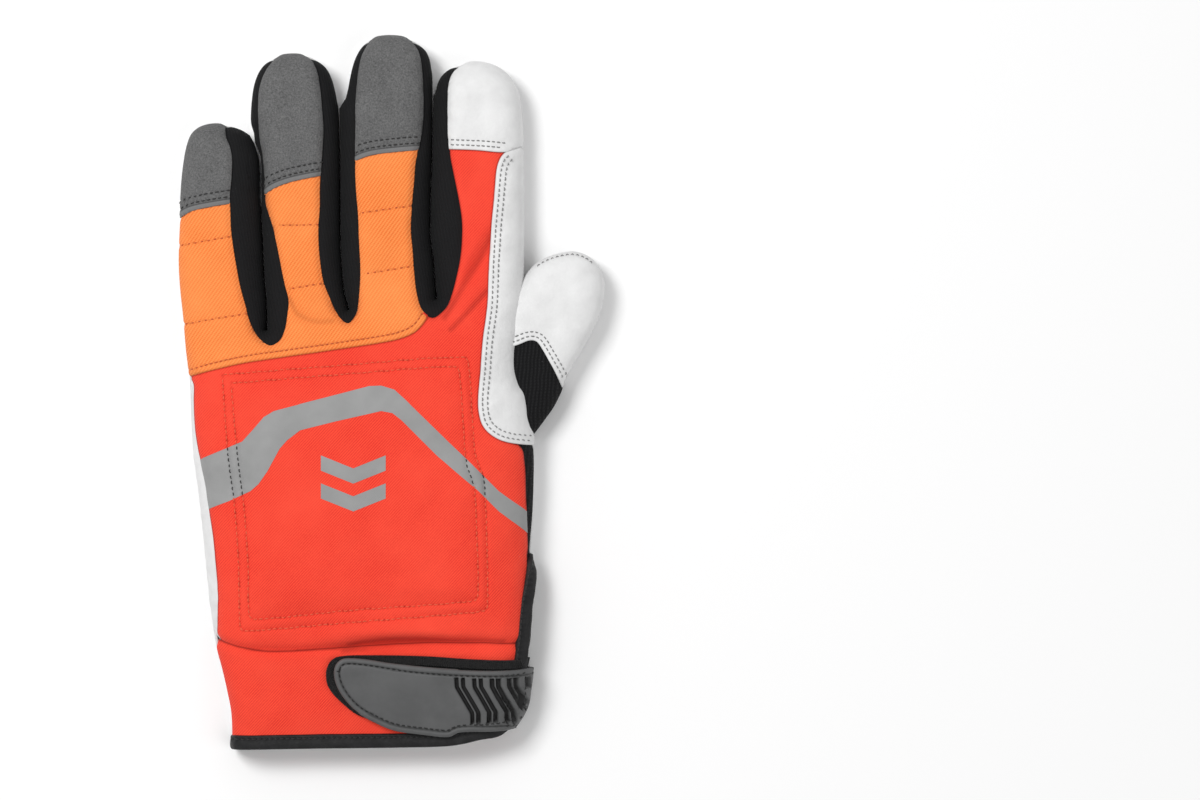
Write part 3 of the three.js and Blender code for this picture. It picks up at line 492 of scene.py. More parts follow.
@dataclass
class Form:
    """A flat-lying hollow form: an outline in plan, full above the seam and flat on the floor below it."""

    outline: Array
    open_end: Array
    rise: Callable[[Array], Array]
    reach: Callable[[Array], Array]
    fullness: float = 2.4
    floor_reach: float = 7.0
    floor_fullness: float = 3.2

    def height(self, points: Array, rim: Array, side: Side) -> Array:
        """Find the form's height.

        Args:
            points: Plan points.
            rim: Their distance to the outline.
            side: The back or the palm side.

        Returns:
            The height at each point.
        """
        if side is Side.BACK:
            share = 1 - np.clip(rim / self.reach(points), 0, 1)
            return SEAM_HEIGHT + self.rise(points) * (1 - share ** self.fullness) ** (1 / self.fullness)
        share = 1 - np.clip(rim / self.floor_reach, 0, 1)
        low = SEAM_HEIGHT - FLOOR_CLEARANCE
        return SEAM_HEIGHT - low * (1 - share ** self.floor_fullness) ** (1 / self.floor_fullness)

    def contains(self, points: Array) -> Array:
        """Whether plan points lie inside the outline and on the right side of its open end."""
        return inside(points, self.outline) & inside(points, self.open_end)

    def skin(self, side: Side, cuts: Sequence[Array], grid: float, fine: Sequence[Array] = (),
             details: Sequence[Array] = ()) -> Skin:
        """Triangulate one side of the form.

        Args:
            side: The back or the palm side.
            cuts: Lines that the triangles' edges follow.
            grid: Spacing of the points inside.
            fine: Outlines inside which the points lie closer.
            details: Lines of small details that the edges follow too, with no rows of points beside them.

        Returns:
            The skin, with its triangles wound to face outwards.
        """
        rows = TOP_ROWS if side is Side.BACK else UNDER_ROWS
        chains = [*[offset_line(self.outline, -row) for row in rows], *cuts, *details, self.open_end]
        ends = np.cumsum([len(line) for line in chains]).tolist()
        edges = [(i, i + 1) for line, end in zip(chains, ends) for i in range(end - len(line), end - 1)]
        cloud = self.fill(grid, fine, rows[-1])
        if side is Side.BACK:
            beside = np.vstack([offset_line(line, row) for line in cuts for row in SEAM_ROWS])
            beside = clear_of(beside[self.contains(beside)], [self.outline], rows[-1] + BESIDE_CLEAR)
            cloud = np.vstack([clear_of(cloud, cuts, SEAM_CLEAR), clear_of(beside, cuts, BESIDE_CLEAR)])
            cloud = clear_of(cloud, details, DETAIL_CLEAR)
        else:
            cloud = clear_of(cloud, cuts, UNDER_CLEAR)
        flat = np.vstack([*chains, cloud])
        found = delaunay_2d_cdt([Vector(point) for point in flat], edges, [], 0, CUT_PRECISION)
        plan = np.array([tuple(point) for point in found[0]])
        faces = np.array(found[2])
        faces = faces[self.contains(plan[faces].mean(axis=1))]
        used, faces = np.unique(faces, return_inverse=True)
        faces = faces.reshape(-1, 3)
        plan = plan[used]
        rim = near(plan, self.outline)
        a, b, c = (plan[faces[:, i]] for i in range(3))
        turn = (b - a)[:, 0] * (c - a)[:, 1] - (b - a)[:, 1] * (c - a)[:, 0]
        upward = turn > 0 if side is Side.BACK else turn < 0
        faces[~upward] = faces[~upward][:, ::-1]
        height = self.height(plan, rim.distance, side)
        return Skin(plan, height, self.facing(plan, rim, side), rim.distance, faces)

    def fill(self, grid: float, fine: Sequence[Array], depth: float) -> Array:
        """Spread points in even triangles inside the outline.

        Args:
            grid: Spacing of the points.
            fine: Outlines inside which the points lie closer.
            depth: How far in from the outline the points of its own rows lie.

        Returns:
            The points, clear of the outline's own rows.
        """
        low = self.outline.min(axis=0)
        high = self.outline.max(axis=0)
        clouds = []
        for spacing, area in [(grid, None), *[(TRIM_GRID, outline) for outline in fine]]:
            across = np.arange(low[0], high[0], spacing)
            up = np.arange(low[1], high[1], spacing * GRID_ROW)
            x, y = np.meshgrid(across, up)
            x = x + spacing / 2 * (np.arange(len(up)) % 2)[:, None]
            cloud = np.column_stack([x.ravel(), y.ravel()])
            if area is not None:
                cloud = cloud[inside(cloud, area)]
            for outline in fine if area is None else ():
                cloud = cloud[~inside(cloud, outline)]
            clouds.append(clear_of(cloud, [self.outline], depth + RIM_CLEAR))
        return np.vstack(clouds)

    def facing(self, plan: Array, rim: Nearness, side: Side) -> Array:
        """Find the directions out of the form.

        Args:
            plan: Plan points.
            rim: How near they are to the outline.
            side: The side of the form that they are on.

        Returns:
            A unit vector for each point.
        """
        base = self.height(plan, rim.distance, side)
        steep = (self.height(plan, rim.distance + RIM_STEP, side) - base) / RIM_STEP
        inward = np.column_stack([rim.run[:, 1], -rim.run[:, 0]])
        off_rim = rim.distance > SAME_PLACE
        inward[off_rim] = rim.away[off_rim] / rim.distance[off_rim, None]
        slope = inward * steep[:, None]
        for axis in (0, 1):
            moved = plan.copy()
            moved[:, axis] += SLOPE_STEP
            slope[:, axis] += (self.height(moved, rim.distance, side) - base) / SLOPE_STEP
        up = 1 if side is Side.BACK else -1
        normal = np.column_stack([-slope * up, np.full(len(plan), up)])
        normal[rim.distance < RIM_BAND, 2] = 0
        return normal / np.linalg.norm(normal, axis=1)[:, None]


def chain(*parts: Line) -> Array:
    """Pixel lines joined into one, as millimetres."""
    return np.vstack([place(part) for part in parts])


def hand_outline() -> Array:
    """Draw the hand's silhouette from above, with a narrow gap for each slit between two fingers.

    Returns:
        Points of the outline, in order.
    """
    pieces = [smooth_line(chain(OUTER_SIDE, LITTLE_TIP), OUTLINE_STEP)]
    tips = (RING_TIP, MIDDLE_TIP, (*INDEX_TIP, *THUMB_SIDE))
    for slit, tip in zip((SLIT_1, SLIT_2, SLIT_3), tips):
        middle = smooth_line(place(slit), OUTLINE_STEP)
        run = middle[-1] - middle[-2]
        run /= np.hypot(*run)
        side = np.array([-run[1], run[0]])
        end = [middle[-1] + SLIT_GAP / 2 * (-side * math.cos(angle) + run * math.sin(angle))
               for angle in np.linspace(0, math.pi, 9)[1:-1]]
        pieces += [offset_line(middle, -SLIT_GAP / 2), np.array(end), offset_line(middle, SLIT_GAP / 2)[::-1],
                   smooth_line(place(tip), OUTLINE_STEP)]
    joined = np.vstack(pieces)
    spans = np.hypot(*np.diff(joined, axis=0).T)
    return joined[np.concatenate([[True], spans > SAME_PLACE])]


# Rows of the hand's height: along from the cuff edge, rise above the side seam, and reach of its round side
HAND_ROWS = ((0, 8.6, 11), (14, 11, 12), (30, 12.4, 13), (37, 12.4, 14), (44, 14.2, 18), (60, 16.4, 24),
             (80, 17, 26), (105, 17.2, 26), (128, 16.6, 24), (150, 15, 20))
FINGER_RISE = 11.4
FINGER_REACH = 12.6
CROTCH_ALONG = 162.0
CROTCH_SLANT = 0.19
CROTCH_MIDDLE_X = -16.4
RISE_BLEND = (-26, 12)
REACH_BLEND = (-30, 4)


def cuff_level() -> float:
    """Plan Y of the cuff's edge at its outer end."""
    return float(place(((234, 746),))[0, 1])


def toward_fingers(points: Array) -> Array:
    """How far along the glove a point is past the line of the crotches, in millimetres."""
    along = points[:, 1] - cuff_level()
    return along - CROTCH_ALONG - CROTCH_SLANT * (points[:, 0] - CROTCH_MIDDLE_X)


def hand_row(points: Array, column: int, finger: float, blend: Point) -> Array:
    """Read one column of the hand's rows, which passes over to the fingers' own value.

    Args:
        points: Plan points.
        column: Column of HAND_ROWS.
        finger: The fingers' value.
        blend: Where the change starts and ends, past the line of the crotches.

    Returns:
        The value at each point.
    """
    rows = np.array(HAND_ROWS, dtype=float)
    on_hand = np.interp(points[:, 1] - cuff_level(), rows[:, 0], rows[:, column])
    return on_hand + blend_step(*blend, toward_fingers(points)) * (finger - on_hand)


def hand_rise(points: Array) -> Array:
    """Rise of the back above the side seam."""
    return hand_row(points, 1, FINGER_RISE, RISE_BLEND)


def hand_reach(points: Array) -> Array:
    """Reach of the rounded side before the back is flat."""
    return hand_row(points, 2, FINGER_REACH, REACH_BLEND)


@dataclass
class Panel:
    """One panel of the skin: its outline, how its edge lies, its thickness, finish and lift off the form."""

    name: str
    outline: Array
    edge: Edge
    finish: str
    lift: float = 0.0
    wall: float = 1.0
    crease: float = 0.8
    crease_width: float = 1.3
    round_edge: float = 0.35


def outline_of(line: Line, beyond: Line) -> Array:
    """Closed outline from a smooth seam and straight stretches outside the silhouette."""
    return np.vstack([smooth_line(place(line), 0.9), resample(place(beyond), 4.0)])


KNITS = (("little_ring", KNIT_1, KNIT_1_OUTSIDE), ("ring_middle", KNIT_2, KNIT_2_OUTSIDE),
         ("middle_index", KNIT_3, KNIT_3_OUTSIDE))
CAPS = (("little", CAP_SEAM_LITTLE, ((252, 96), (160, 96)), "suede", 0.75),
        ("ring", CAP_SEAM_RING, ((342, 30), (246, 30)), "suede", 0.75),
        ("middle", CAP_SEAM_MIDDLE, ((436, 15), (343, 15)), "suede", 0.75),
        ("index", CAP_SEAM_INDEX, ((560, 40), (434, 40)), "leather", 0.85))


def glove_panels() -> list[Panel]:
    """List the back's panels.

    Returns:
        The panels, those that lie over the others first.
    """
    panels = [Panel(f"fourchette_{name}", outline_of(line, beyond), Edge.TURNED, "knit", 0.1)
              for name, line, beyond in KNITS]
    panels += [Panel(f"fingertip_{name}", outline_of(line, beyond), Edge.LAPPED, finish, lift)
               for name, line, beyond, finish, lift in CAPS]
    side = outline_of(SIDE_EDGE, ((560, 446), (560, 140), (530, 143)))
    gusset = outline_of(GUSSET_EDGE, ((560, 559), (560, 430), (530, 430)))
    cuff = outline_of(CUFF_SEAM, ((560, 800), (160, 800)))
    wrap = outline_of(WRAP_EDGE, ((120, 650), (120, 379)))
    knuckle = outline_of(KNUCKLE_EDGE, ((434, 10), (120, 10), (120, 380)))
    back = place(((100, 0), (700, 0), (700, 800), (100, 800)))
    return panels + [
        Panel("index_side_panel", side, Edge.LAPPED, "leather", 0.85, wall=1.1),
        Panel("wrist_gusset", gusset, Edge.TURNED, "terry", crease=0.5),
        Panel("cuff_panel", cuff, Edge.TURNED, "red", wall=1.1, crease=1.2, crease_width=1.7),
        Panel("outer_wrap", wrap, Edge.TURNED, "leather", crease=0.7),
        Panel("knuckle_panel", knuckle, Edge.LAPPED, "orange", 0.35, round_edge=0.5),
        Panel("back_panel", back, Edge.TURNED, "red", wall=1.1),
    ]


QUILT_LINES = (((176, 248), (235, 238)), ((283, 227), (325, 226)), ((362, 215), (416, 207)),
               ((180, 326), (252, 314)), ((293, 290), (327, 284)), ((367, 275), (417, 267)))

FOLDS = (
    *(Fold(line, 3.6, -0.5) for line in QUILT_LINES),
    Fold(((497, 228), (480, 262), (456, 300), (446, 318)), 2.4, -1.5),
    Fold(((490, 222), (468, 262), (448, 300)), 3.0, 1.0),
    Fold(((492, 270), (478, 292), (462, 318)), 3.0, 0.8),
    Fold(((488, 292), (470, 312), (452, 330)), 2.0, -0.7),
    Fold(((480, 168), (470, 190), (466, 214)), 3.0, -0.5),
    Fold(((292, 300), (300, 314), (318, 322), (334, 322)), 2.0, -1.1),
    Fold(((296, 286), (312, 303), (334, 312)), 2.8, 0.7),
    Fold(((284, 350), (304, 340), (330, 338)), 2.6, 0.5),
    Fold(((206, 250), (222, 290), (240, 330)), 3.6, -0.4),
    Fold(((296, 214), (302, 246), (312, 280)), 3.6, -0.35),
    Fold(((404, 214), (398, 250), (402, 290)), 3.6, -0.4),
    Fold(((386, 158), (372, 176), (364, 202)), 3.4, -0.45),
    Fold(((298, 641), (366, 629), (424, 628), (474, 635)), 4.2, 2.2),
    Fold(((346, 648), (390, 642.5), (440, 640.5), (505, 640)), 2.2, -1.9),
    Fold(((352, 642), (386, 638), (416, 638), (446, 640)), 2.4, -0.9),
    Fold(((222, 636), (250, 634), (292, 640)), 3.4, 0.7),
    Fold(((246, 322), (285, 340), (330, 338), (396, 322)), 6.0, 0.55),
    Fold(((190, 340), (226, 346), (262, 352)), 3.0, -0.35),
    Fold(((424, 324), (446, 330), (474, 326)), 3.2, -0.5),
    Fold(((497, 640), (512, 600), (516, 560)), 3.0, 0.5),
    Fold(((240, 660), (250, 690), (252, 730)), 5.0, 0.45),
    Fold(((300, 664), (318, 700), (330, 736)), 4.0, -0.4),
)


@dataclass
class Relief:
    """What shapes the cloth of the back apart from its seams: pad, folds and soft waves."""

    pad_height: float = 1.25
    border_share: float = 0.35
    border: Point = (-0.5, 2.6)
    core: Point = (-0.4, 6.5)
    waves: Sequence[tuple[float, float, int]] = ((0.26, 24, 3), (0.09, 9, 8))

    def lift(self, points: Array) -> Array:
        """Find the height added to the form.

        Args:
            points: Plan points.

        Returns:
            The height at each point.
        """
        outer, inner = (self.depth(points, row) for row in (PAD_OUTER_ROW, PAD_INNER_ROW))
        total = self.pad_height * (self.border_share * blend_step(*self.border, outer)
                                   + (1 - self.border_share) * blend_step(*self.core, inner))
        for fold in FOLDS:
            total += fold.lift(points)
        for height, length, seed in self.waves:
            total += height * ripples(points, length, seed)
        return total

    def depth(self, points: Array, row: Line) -> Array:
        """How far points are inside a row of the pad's stitches."""
        outline = smooth_line(place(row), 1.0)
        return near(points, outline, 12.0).distance * np.where(inside(points, outline), 1, -1)


def rows_beside(name: str, line: Line, piece: str, thread: str, offsets: Sequence[float],
                **options: float) -> list[StitchRow]:
    """Lay rows of stitches beside a seam.

    Args:
        name: Start of the rows' names.
        line: The seam, in pixels.
        piece: The piece that is sewn.
        thread: The thread's finish.
        offsets: Distance of each row from the seam.
        options: Other sizes of the rows.

    Returns:
        The rows.
    """
    path = smooth_line(place(line), 0.5)
    return [StitchRow(f"{name}_{number + 1}", offset_line(path, distance), piece, thread, **options)
            for number, distance in enumerate(offsets)]


def stitch_rows() -> list[StitchRow]:
    """List every row of stitches on the back.

    Returns:
        The rows, in the order in which they are sewn.
    """
    rows = []
    for name, line in (("little", CAP_SEAM_LITTLE), ("ring", CAP_SEAM_RING), ("middle", CAP_SEAM_MIDDLE)):
        rows += rows_beside(f"{name}_cap", line, f"fingertip_{name}", "dark_thread", (2.7, 5.0), pitch=2.1)
    for name, line, piece, offsets in (("index_cap", CAP_SEAM_INDEX[:4], "fingertip_index", (1.7, 3.5)),
                                       ("side_panel", SIDE_EDGE[1:], "index_side_panel", (1.6, 3.5))):
        rows += rows_beside(name, line, piece, "grey_thread", offsets, depth=0.32)
    rows += rows_beside("knuckle", KNUCKLE_EDGE[:-1], "knuckle_panel", "rust_thread", (2.4,), depth=0.34)
    for number, line in enumerate(QUILT_LINES):
        path = resample(place(line), 0.5)
        rows.append(StitchRow(f"quilt_{number + 1}", path, "knuckle_panel", "rust_thread", 2.5, 0.42, 0.4))
    for name, line in (("pad_outer", PAD_OUTER_ROW), ("pad_inner", PAD_INNER_ROW)):
        path = smooth_line(place(line), 0.5)
        rows.append(StitchRow(name, path, "back_panel", "red_thread", 2.1, 0.68, 0.62))
    return rows


def weld(parts: Sequence[Pair]) -> Pair:
    """Join meshes, with points at the same place made one.

    Args:
        parts: Points and triangles of each mesh.

    Returns:
        The joined points and triangles.
    """
    points = np.vstack([part[0] for part in parts])
    starts = np.cumsum([0, *[len(part[0]) for part in parts]])
    faces = np.vstack([part[1] + start for part, start in zip(parts, starts)])
    used, faces = np.unique(faces, return_inverse=True)
    faces = faces.reshape(-1, 3)
    spots = np.round(points[used] / WELD_SIZE)
    _, first, back = np.unique(spots, axis=0, return_index=True, return_inverse=True)
    faces = back.reshape(-1)[faces]
    whole = (faces[:, 0] != faces[:, 1]) & (faces[:, 1] != faces[:, 2]) & (faces[:, 2] != faces[:, 0])
    return points[used][first], faces[whole]


def surface_of(points: Array, faces: Array) -> BVHTree:
    """A surface that stitches can be laid on."""
    return BVHTree.FromPolygons(points.tolist(), faces.tolist())


def make_piece(name: str, both: Array, faces: Array, finishes: Finishes, finish: str,
               edge: Array | None = None, crisp: bool = False) -> bpy.types.Object:
    """Make a visible piece that stands for the frame's node of the same name.

    Args:
        name: The piece's name.
        both: Vertices of its outside in millimetres, with those of its inside beside them for a thin wall.
        faces: Triangles of its outside, facing outwards.
        finishes: Every material.
        finish: Name of its material.
        edge: Distance of each vertex to the panel's edge, kept as an attribute for the finish, which paints
            shade or a hem from it; the tab keeps its painted shade there instead.
        crisp: Whether the piece's border is a sharp corner.

    Returns:
        The new object.
    """
    used, faces = np.unique(faces, return_inverse=True)
    faces = faces.reshape(-1, 3)
    points = both[used, :3]
    polygons = faces.tolist()
    pairs = np.vstack([faces[:, [0, 1]], faces[:, [1, 2]], faces[:, [2, 0]]])
    _, first, uses = np.unique(np.sort(pairs, axis=1), axis=0, return_index=True, return_counts=True)
    border = pairs[first[uses == 1]].tolist()
    if both.shape[1] > 3:
        count = len(points)
        points = np.vstack([points, both[used, 3:]])
        polygons += (faces[:, ::-1] + count).tolist()
        polygons += [(b, a, a + count, b + count) for a, b in border]
    points[:, 2] = np.maximum(points[:, 2], FLOOR_CLEARANCE)
    mesh = bpy.data.meshes.new(name)
    mesh.from_pydata((points * MM).tolist(), [], polygons)
    if edge is not None:
        values = mesh.attributes.new("edge", "FLOAT", "POINT")
        values.data.foreach_set("value", np.resize(edge[used], len(points)).astype(np.float32))
    mesh.polygons.foreach_set("use_smooth", np.ones(len(polygons), dtype=bool))
    mesh.update()
    if crisp:
        corners = {tuple(sorted(pair)) for pair in border}
        flags = mesh.attributes.new("sharp_edge", "BOOLEAN", "EDGE")
        flags.data.foreach_set("value", [tuple(sorted(line.vertices)) in corners for line in mesh.edges])
    mesh.materials.append(finishes[finish])
    return report(add_object(name, mesh), SLOTS[finish], name)


def add_object(name: str, data: bpy.types.ID) -> bpy.types.Object:
    """Put a mesh, a light or a camera into the scene.

    Args:
        name: The object's name.
        data: What it shows.

    Returns:
        The new object.
    """
    item = bpy.data.objects.new(name, data)
    bpy.context.scene.collection.objects.link(item)
    return item


def report(piece: bpy.types.Object, slot: str, *nodes: str) -> bpy.types.Object:
    """Tie a finished piece to the frame and log it.

    Args:
        piece: The finished piece.
        slot: Its material slot; not used.
        nodes: The frame's nodes that it stands for.

    Returns:
        The same piece.
    """
    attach(piece, "root")
    if nodes:
        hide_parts(*nodes)
    log.info("%s: %d faces", piece.name, len(piece.data.polygons))
    return piece


def fill_inputs(tree: bpy.types.NodeTree, node: bpy.types.Node, inputs: dict[str | int, object]) -> None:
    """Set or link the inputs of a node.

    Args:
        tree: The tree that the node is in.
        node: The node.
        inputs: Value of each input, or the socket that it is linked to.
    """
    for key, value in inputs.items():
        socket = node.inputs[key]
        if isinstance(value, Socket):
            tree.links.new(value, socket)
        elif socket.type == "RGBA":
            socket.default_value = (*value, 1.0)
        else:
            socket.default_value = value


def add_node(tree: bpy.types.NodeTree, kind: str, inputs: dict[str | int, object],
             **settings: object) -> bpy.types.Node:
    """Add a node to a tree.

    Args:
        tree: The material's or the geometry's tree.
        kind: The node's type.
        inputs: Value of each input, or the socket that it is linked to.
        settings: The node's own properties.

    Returns:
        The new node.
    """
    node = tree.nodes.new(kind)
    for key, value in settings.items():
        setattr(node, key, value)
    fill_inputs(tree, node, inputs)
    return node


class Nodes:
    """Adds and links the nodes of one material."""

    def __init__(self, name: str) -> None:
        """Start a material with an empty tree and a surface shader."""
        self.material = bpy.data.materials.new(name)
        self.material.use_nodes = True
        self.tree = self.material.node_tree
        self.tree.nodes.clear()
        self.output = self.tree.nodes.new("ShaderNodeOutputMaterial")
        self.surface = self.tree.nodes.new("ShaderNodeBsdfPrincipled")
        self.tree.links.new(self.surface.outputs["BSDF"], self.output.inputs["Surface"])
        self.place = self.tree.nodes.new("ShaderNodeTexCoord").outputs["Object"]

    def add(self, kind: str, inputs: dict[str | int, object], **settings: object) -> bpy.types.Node:
        """Add a node with its inputs and properties."""
        return add_node(self.tree, kind, inputs, **settings)

    def turned(self, angle: float, stretch: Sequence[float] = (1, 1, 1)) -> Socket:
        """Object coordinates turned about Z and stretched."""
        return self.add("ShaderNodeMapping", {"Vector": self.place, "Rotation": (0, 0, angle),
                                              "Scale": tuple(stretch)}).outputs[0]

    def noise(self, scale: float, detail: float = 2, rough: float = 0.5,
              at: Socket | None = None) -> Socket:
        """Noise from 0 to 1, with a scale in repeats a metre."""
        return self.add("ShaderNodeTexNoise", {"Vector": at or self.place, "Scale": scale, "Detail": detail,
                                               "Roughness": rough}).outputs["Fac"]

    def ribs(self, pitch: float, angle: float, distortion: float = 0.0) -> Socket:
        """Add even waves.

        Args:
            pitch: Their distance in metres.
            angle: The turn of their ribs.
            distortion: How far they wander.

        Returns:
            The socket of their height, from 0 to 1.
        """
        return self.add("ShaderNodeTexWave", {"Vector": self.turned(angle), "Scale": math.pi / (10 * pitch),
                                              "Distortion": distortion, "Detail": 1.0},
                        wave_type="BANDS", bands_direction="X").outputs["Fac"]

    def cells(self, size: float) -> Socket:
        """Distance inside cells of a size in metres."""
        return self.add("ShaderNodeTexVoronoi", {"Vector": self.place, "Scale": 1 / size},
                        feature="F1").outputs["Distance"]

    def math(self, operation: str, first: object, second: object) -> Socket:
        """Arithmetic on two values."""
        return self.add("ShaderNodeMath", {0: first, 1: second}, operation=operation).outputs[0]

    def times(self, first: object, second: object) -> Socket:
        """Product of two values."""
        return self.math("MULTIPLY", first, second)

    def flip(self, value: object) -> Socket:
        """What a value from 0 to 1 lacks of 1."""
        return self.math("SUBTRACT", 1.0, value)

    def spread(self, value: object, low: float, span: float) -> Socket:
        """Value from 0 to 1 mapped to a span above a low end."""
        return self.math("ADD", low, self.times(value, span))

    def blend(self, first: object, share: float, second: object) -> Socket:
        """Sum of two values, the first by its share and the second by the rest."""
        return self.math("ADD", self.times(first, share), self.times(second, 1 - share))

    def ramp(self, value: object, low: float, high: float) -> Socket:
        """Value mapped from low..high to 0..1 and held there."""
        return self.add("ShaderNodeMapRange", {"Value": value, "From Min": low, "From Max": high}).outputs[0]

    def mix(self, share: object, first: object, second: object) -> Socket:
        """Colour between two colours."""
        return self.add("ShaderNodeMix", {0: share, 6: first, 7: second}, data_type="RGBA").outputs[2]

    def attribute(self, name: str) -> Socket:
        """A value kept on the piece's vertices."""
        return self.add("ShaderNodeAttribute", {}, attribute_name=name).outputs["Fac"]

    def bump(self, height: Socket, depth: float, over: Socket | None = None) -> Socket:
        """Add a bump, over another bump where there is one.

        Args:
            height: Its height from 0 to 1.
            depth: Its depth in metres.
            over: The bump under it.

        Returns:
            The socket of its normal.
        """
        inputs = {"Height": height, "Distance": depth, "Strength": 1.0}
        if over:
            inputs["Normal"] = over
        return self.add("ShaderNodeBump", inputs).outputs[0]

    def finish(self, colour: object, rough: object, normal: Socket | None,
               **constants: object) -> Material:
        """Link the surface and set its constant values.

        Args:
            colour: Base colour, as a value or a socket.
            rough: Roughness, as a value or a socket.
            normal: The last bump, where there is one.
            constants: Other values of the surface, with underscores for spaces in their names.

        Returns:
            The finished material.
        """
        inputs = {name.replace("_", " "): value for name, value in constants.items()}
        inputs |= {"Base Color": colour, "Roughness": rough}
        if normal is not None:
            inputs["Normal"] = normal
        fill_inputs(self.tree, self.surface, inputs)
        return self.material


@dataclass(frozen=True)
class WovenCloth:
    """Matt woven cloth with diagonal ribs, a soft change of colour and painted shade at its seams and
    creases.
    """

    name: str
    colour: Colour
    deep: Colour
    rib_pitch: float
    rib_angle: float
    rib_depth: float
    seam_shade: float

    def material(self) -> Material:
        """Build the cloth's material.

        Returns:
            The material.
        """
        nodes = Nodes(self.name)
        ribs = nodes.ribs(self.rib_pitch, self.rib_angle, 0.6)
        cross = nodes.ribs(self.rib_pitch * 0.62, self.rib_angle + 1.35, 0.8)
        fibres = nodes.noise(1900, 3, 0.75)
        patches = nodes.noise(42, 3, 0.55)
        weave = nodes.blend(ribs, 0.65, cross)
        shade = nodes.blend(weave, 0.5, fibres)
        pale = tuple(min(1.0, value * 1.06 + 0.008) for value in self.colour)
        even = nodes.mix(nodes.ramp(shade, 0.31, 0.69), self.deep, self.colour)
        colour = nodes.mix(nodes.times(nodes.ramp(patches, 0.35, 0.75), 0.45), even, pale)
        # Painted shade: the cloth darkens towards its seams, deep folds and needle holes, where the edge
        # attribute is small
        edge = nodes.ramp(nodes.attribute("edge"), 0.0, 0.62)
        dark = tuple(value * 0.32 for value in self.deep)
        colour = nodes.mix(nodes.times(nodes.flip(edge), self.seam_shade), colour, dark)
        normal = nodes.bump(weave, self.rib_depth, nodes.bump(fibres, self.rib_depth * 0.5))
        return nodes.finish(colour, nodes.spread(fibres, 0.82, 0.14), normal, Sheen_Weight=0.04,
                            Sheen_Roughness=0.5, Specular_IOR_Level=0.12)


@dataclass(frozen=True)
class GoatLeather:
    """Thin pale leather with a fine grain, shallow creases, pores and painted shade at its seams."""

    name: str = "goat leather"
    colour: Colour = (0.77, 0.77, 0.77)
    shade: Colour = (0.50, 0.50, 0.50)

    def material(self) -> Material:
        """Build the leather's material.

        Returns:
            The material.
        """
        nodes = Nodes(self.name)
        grain = nodes.cells(0.00075)
        fine = nodes.cells(0.0003)
        soft = nodes.noise(160, 4, 0.6)
        wide = nodes.noise(30, 2, 0.5)
        along = nodes.turned(0.5, (1, 0.55, 1))
        creases = nodes.add("ShaderNodeTexVoronoi", {"Vector": along, "Scale": 260.0},
                            feature="DISTANCE_TO_EDGE").outputs["Distance"]
        lines = nodes.ramp(creases, 0.0, 0.2)
        height = nodes.blend(grain, 0.6, fine)
        tint = nodes.blend(soft, 0.6, wide)
        colour = nodes.mix(nodes.ramp(tint, 0.36, 0.62), self.shade, self.colour)
        colour = nodes.mix(0.72, colour, self.colour)
        # Painted shade: the leather darkens towards its seams
        edge = nodes.ramp(nodes.attribute("edge"), 0.0, 0.45)
        colour = nodes.mix(nodes.times(nodes.flip(edge), 0.35), colour, self.shade)
        normal = nodes.bump(lines, 0.00002, nodes.bump(soft, 0.0003, nodes.bump(height, 0.00006)))
        return nodes.finish(colour, nodes.spread(soft, 0.5, 0.16), normal, Specular_IOR_Level=0.35,
                            Sheen_Weight=0.05)


@dataclass(frozen=True)
class Suede:
    """Speckled grey suede with a smoother, lighter folded hem and painted shade along the hem's fold."""

    name: str = "grey suede"
    dark: Colour = (0.055, 0.055, 0.056)
    light: Colour = (0.20, 0.20, 0.20)
    hem: Colour = (0.21, 0.21, 0.212)
    flecks: Colour = (0.33, 0.33, 0.33)
    # Colour of the painted shade along the hem's fold
    fold: Colour = (0.03, 0.03, 0.03)
    hem_width: float = 1.75

    def material(self) -> Material:
        """Build the suede's material.

        Returns:
            The material.
        """
        nodes = Nodes(self.name)
        nap = nodes.noise(1500, 4, 0.8)
        speckle = nodes.noise(1300, 2, 0.8)
        soft = nodes.noise(110, 3, 0.6)
        tone = nodes.blend(nap, 0.86, soft)
        colour = nodes.mix(nodes.ramp(tone, 0.3, 0.7), self.dark, self.light)
        colour = nodes.mix(nodes.times(nodes.ramp(speckle, 0.66, 0.74), 0.5), colour, self.flecks)
        band = nodes.attribute("edge")
        on_hem = nodes.flip(nodes.ramp(band, self.hem_width - 0.15, self.hem_width + 0.2))
        # Painted shade in the crease where the hem folds over
        painted_fold_shade = nodes.times(nodes.ramp(band, self.hem_width - 0.35, self.hem_width),
                                nodes.flip(nodes.ramp(band, self.hem_width, self.hem_width + 0.5)))
        colour = nodes.mix(nodes.times(on_hem, 0.75), colour, self.hem)
        colour = nodes.mix(nodes.times(painted_fold_shade, 0.7), colour, self.fold)
        normal = nodes.bump(nap, 0.00022, nodes.bump(soft, 0.0002))
        return nodes.finish(colour, 0.93, normal, Sheen_Weight=0.06, Sheen_Roughness=0.45,
                            Specular_IOR_Level=0.1)


